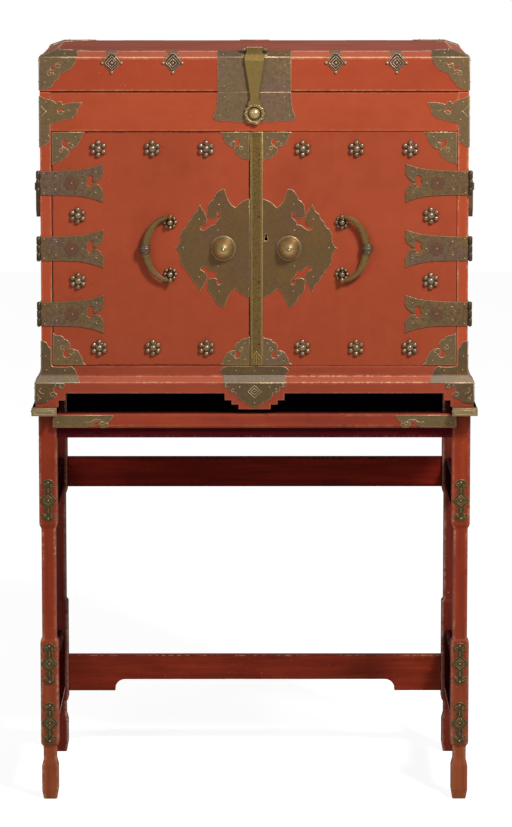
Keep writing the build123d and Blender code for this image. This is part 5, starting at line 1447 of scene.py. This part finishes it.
def rosette(tree, given):
    """Ball petals round a dome, on a round seat."""
    ring = first(tree, "GeometryNodeMeshCircle", {"Vertices": given["Petals"], "Radius": given["Petal Ring"]})
    petal = first(
        tree, "GeometryNodeMeshUVSphere", {"Segments": 14, "Rings": 9, "Radius": given["Petal Radius"]},
    )
    petals = first(tree, "GeometryNodeInstanceOnPoints", {"Points": ring, "Instance": petal})
    lifted = first(tree, "GeometryNodeTransform", {"Geometry": petals, "Translation": (0.0, 0.0, 0.0024)})
    dome = domed(tree, 20, 12, given["Dome Radius"], given["Dome Height"])
    disc = first(
        tree, "GeometryNodeMeshCylinder", {"Vertices": 24, "Radius": given["Petal Ring"], "Depth": 0.0016},
    )
    seat = first(tree, "GeometryNodeTransform", {"Geometry": disc, "Translation": (0.0, 0.0, 0.0009)})
    whole = node(tree, "GeometryNodeJoinGeometry")
    for piece in (lifted, dome, seat):
        tree.links.new(piece, whole.inputs["Geometry"])
    angle = first(tree, "ShaderNodeCombineXYZ", {"Z": given["Turn"]})
    return first(tree, "GeometryNodeTransform", {"Geometry": whole.outputs["Geometry"], "Rotation": angle})


large_rose = {
    "Petals": 6, "Petal Ring": 0.0108, "Petal Radius": 0.0049, "Dome Radius": 0.0079, "Dome Height": 0.0092,
    "Turn": 0.0,
}
rosettes = scattered("rosettes", large_rose, rosette)
rosette_brass = brass(
    "rosette_brass", (164, 140, 112), (92, 72, 54), (174, 146, 126), 0.34, 1.0, 0.2, 0.82, 120.0,
)
boss_brass = brass("boss_brass", (218, 194, 138), (150, 122, 76), (214, 188, 146), 0.36, 0.8, 0.08, 0.95)
boss_ring_brass = brass("boss_ring_brass", (150, 130, 100), (104, 86, 62), (156, 134, 112), 0.36, 0.8)
boss_profile = [
    (23.2, 0), (23.2, 2.2), (22.6, 3.4), (21.6, 3.6), (20.8, 4.4), (20.4, 5.6), (19.6, 6.2), (19.2, 8),
    (17.6, 12.8), (15, 17.4), (11.8, 21.8), (8.4, 25.4), (5.2, 28), (3.4, 29.2), (2.8, 30), (3.2, 31),
    (2.8, 32.4), (1.6, 33.5), (0, 34),
]
for side, name in sides:
    places = [(side * 317.0, row) for row in (954.6, 1072.6)]
    places += [(side * x, row) for row in (833.6, 1192.6) for x in (86.5, 183.0, 279.5)]
    settings = {"Petals": 6, "Turn": math.pi / 6, "Brass": rosette_brass}
    mesh = grown(rosettes, [((x, -door_front, z), front) for x, z in places], settings)
    fitted(name + "_rosettes", mesh, name + "_door", "aged_brass", rosette_brass, name + "_door_rosettes")
    mesh = turned(boss_profile, on_front(221.9, strip_x + side * 59.0, lock_z), 48)
    skinned(mesh, lambda normal, centre: int(centre.y > -0.2281))
    fitted(
        name + "_spun_boss", mesh, name + "_door", "polished_brass", [boss_brass, boss_ring_brass],
        name + "_boss",
    )

# ---- doors: bail pulls
# Crescent bails with a beaded middle, pinned to a pair of eight-petalled posts on each door.

bail_brass = brass("bail_brass", (154, 124, 78), (108, 84, 50), (160, 128, 94), 0.36, 1.2, 0.15, 0.8)
bead_brass = brass("bead_brass", (112, 94, 74), (66, 52, 40), (122, 102, 84), 0.38)
small_rose = {
    "Petals": 8, "Petal Ring": 0.0095, "Petal Radius": 0.0037, "Dome Radius": 0.0056, "Dome Height": 0.0066,
    "Brass": rosette_brass,
}
post_block = [(5, 3), (5, 12), (4.6, 15), (3, 16.6), (0, 17)]
bail_end = [(0, -5), (3, -4.2), (4.4, -2), (4.6, 0.5), (3.6, 3), (2, 4), (2, 15), (0, 15)]
bead_half = [
    (0, -9.4), (5, -9), (9, -8.2), (9.2, -6.8), (8, -6), (9.6, -5.2), (10.4, -3.8), (9.2, -2.8), (10.4, -1.8),
    (11, 0),
]
bead = bead_half + [(radius, -height) for radius, height in bead_half[-2::-1]]
bail_y, bail_reach, bail_half = 232.4, 44.0, 57.0
for side, name in sides:
    post_x = strip_x + side * 154.2
    posts = [lock_z + up * 46.8 for up in (-1, 1)]
    for z in posts:
        lay(turned(post_block, on_front(door_front, post_x, z), 20))
    lay(grown(rosettes, [((post_x, -door_front, z), front) for z in posts], small_rose))
    done(name + "_pull_roses", name + "_door", rosette_brass, name + "_pull_posts")

    # The bail is half an oval that thins towards its ends.
    stations = []
    for step in range(33):
        angle = math.radians(step / 32 * 180 - 90)
        thin = abs(step / 16 - 1)
        x = post_x + side * max(bail_reach * math.cos(angle), 0.0)
        z = lock_z + bail_half * math.sin(angle)
        out = (side * bail_half * math.cos(angle), 0, bail_reach * math.sin(angle))
        stations.append(
            ((x, 0.6 * thin - bail_y, z), out, (0, 1, 0), 7.6 - 4.4 * thin ** 1.1, 3.4 - 0.8 * thin),
        )
    lay(swept(stations, 0.9))
    for up in (-1, 1):
        foot = Matrix.Translation(metres((post_x, -bail_y, lock_z + up * bail_half)))
        lay(turned(bail_end, foot @ Matrix.Rotation(math.pi if up > 0 else 0.0, 4, "X"), 16))
    bead_axis = Matrix.Translation(metres((post_x + side * 45.5, -bail_y, lock_z)))
    lay(turned(bead, bead_axis @ Matrix.Diagonal((1.0, 0.82, 1.0, 1.0)), skin=1))
    done(name + "_bail", name + "_pull", [bail_brass, bead_brass], name + "_pull", slot="polished_brass")

# ---- doors: cover strip and lock
# A flat strip nailed to the right door covers the meeting edges, and ends in a bud. The lock and its
# bolt are iron, screwed behind the right door.

strip_brass = brass("strip_brass", (142, 114, 66), (92, 72, 40), (144, 114, 70), 0.42, 1.4, 0.3, 0.85, 240.0)
bud = [
    (3.7, 828, 1), (7.2, 822.5), (12.4, 815.5), (12.9, 809), (10.4, 804.2), (3.7, 801.8), (-3, 804.2),
    (-5.5, 809), (-5, 815.5), (0.2, 822.5),
]
veins = [
    [(3.7, 803.5), (3.7, 822)], [(0.6, 805.5), (-1.4, 811), (0.8, 817.5)],
    [(6.8, 805.5), (8.8, 811), (6.6, 817.5)],
]
strip_face = 223.4
lay(sheet([oblong(-7.2, door_foot, 14.6, door_top)], 3.0, 0.7), on_front(door_front))
lay(wire([[(x, 803.0), (x, 1221.0)] for x in (-4.6, 12.0)], 0.9, 3.0), on_front(door_front))
lay(sheet([flowing(bud)], 1.6, 0.7), on_front(strip_face))
lay(wire(veins, 0.9, 1.6), on_front(strip_face))
done("meeting_strip", "right_door", [strip_brass, gold_rim, pin_brass], "cover_strip", slot="polished_brass")
nail_dark = brass("strip_nails", (62, 46, 26), (34, 24, 14), (70, 52, 30), 0.4)
nails = [((8.3, -strip_face, z), front) for z in (1181.8, 1070.8, 952.8, 840)]
pins("meeting_strip_nails", "right_door", nails, 1.9, 0.8, nail_dark)

iron, tree, iron_skin = material("lock_iron")
rust = cloud(tree, stretched(tree), 60.0, 5.0, 0.65, 0.40, 0.62)
tree.links.new(blend(tree, rust, rgb(58, 54, 50), rgb(92, 58, 36)), iron_skin.inputs["Base Color"])
tree.links.new(bump(tree, rust, 0.3, 0.0008), iron_skin.inputs["Normal"])
iron_skin.inputs["Metallic"].default_value = 0.7
iron_skin.inputs["Roughness"].default_value = 0.6
refinished(("lock_case", "lock_keeper", "lock_bolt"), iron)

# ---- case: back hinges and carrying handles
# Plain forged leaves hinge the lid at the back. Drop handles for carrying hang from roses on the sides.

refinished(("lid_hinge_lower_leaves", "lid_hinge_upper_leaves"), strap_brass)
refinished(("carry_handle_posts", "left_carry_handle", "right_carry_handle"), strap_brass)

# ---- floor, light and camera
# A plain pale floor and soft studio light, with the key lamp high on the right.

floor_paint, tree, floor_skin = material("floor_paint")
floor_skin.inputs["Base Color"].default_value = (0.62, 0.62, 0.62, 1.0)
floor_skin.inputs["Roughness"].default_value = 0.9
floor_skin.inputs["Specular IOR Level"].default_value = 0.0
path = node(tree, "ShaderNodeLightPath").outputs
seen = sum_of(tree, "MULTIPLY_ADD", path["Is Glossy Ray"], 0.15, path["Is Camera Ray"])
lift = first(tree, "ShaderNodeEmission", {"Color": (1.0, 1.0, 1.0, 1.0), "Strength": times(tree, seen, 0.80)})
both = first(tree, "ShaderNodeAddShader", {0: floor_skin.outputs[0], 1: lift})
tree.links.new(both, tree.nodes["Material Output"].inputs["Surface"])
floor_mesh = bpy.data.meshes.new("floor")
floor_mesh.from_pydata([(-9, -9, 0), (9, -9, 0), (9, 9, 0), (-9, 9, 0)], [], [(0, 1, 2, 3)])
floor_mesh.materials.append(floor_paint)
floor = placed("floor", floor_mesh)

world = bpy.data.worlds.new("studio")
bpy.context.scene.world = world
world.use_nodes = True
tree = world.node_tree
air = tree.nodes["Background"]
air.inputs["Color"].default_value = (1.0, 1.0, 1.0, 1.0)
path = node(tree, "ShaderNodeLightPath").outputs
shown = sum_of(tree, "ADD", path["Is Camera Ray"], path["Is Transmission Ray"])
level = first(tree, "ShaderNodeMapRange", {"Value": shown, "To Min": 0.26, "To Max": 1.0})
tree.links.new(level, air.inputs["Strength"])


def lamp(name, power, size, place, aim):
    """A square soft lamp that looks at a point."""
    light = bpy.data.lights.new(name, "AREA")
    light.energy = power
    light.size = size
    made = placed(name, light)
    made.location = place
    made.rotation_euler = (Vector(aim) - Vector(place)).to_track_quat("-Z", "Y").to_euler()


lamp("key_lamp", 92.0, 0.6, (1.35, -2.3, 3.0), (0.0, -0.1, 1.05))
lamp("fill_lamp", 26.0, 1.4, (-2.0, -3.6, 2.6), (0.0, 0.0, 0.8))

camera_data = bpy.data.cameras.new("camera")
camera_data.lens = 182.769
camera_data.sensor_width = 36.0
camera = placed("camera", camera_data)
camera.location = (0.0062, -7.7307, 1.7592)
pitch, yaw, roll = (math.radians(a) for a in (7.926, 0.027, -0.027))
turn = Matrix.Rotation(yaw, 4, "Z") @ Matrix.Rotation(math.pi / 2 - pitch, 4, "X") @ Matrix.Rotation(
    roll, 4, "Z",
)
camera.rotation_euler = turn.to_euler()
bpy.context.scene.camera = camera
bpy.context.scene.view_settings.view_transform = "Standard"

bpy.context.view_layer.update()
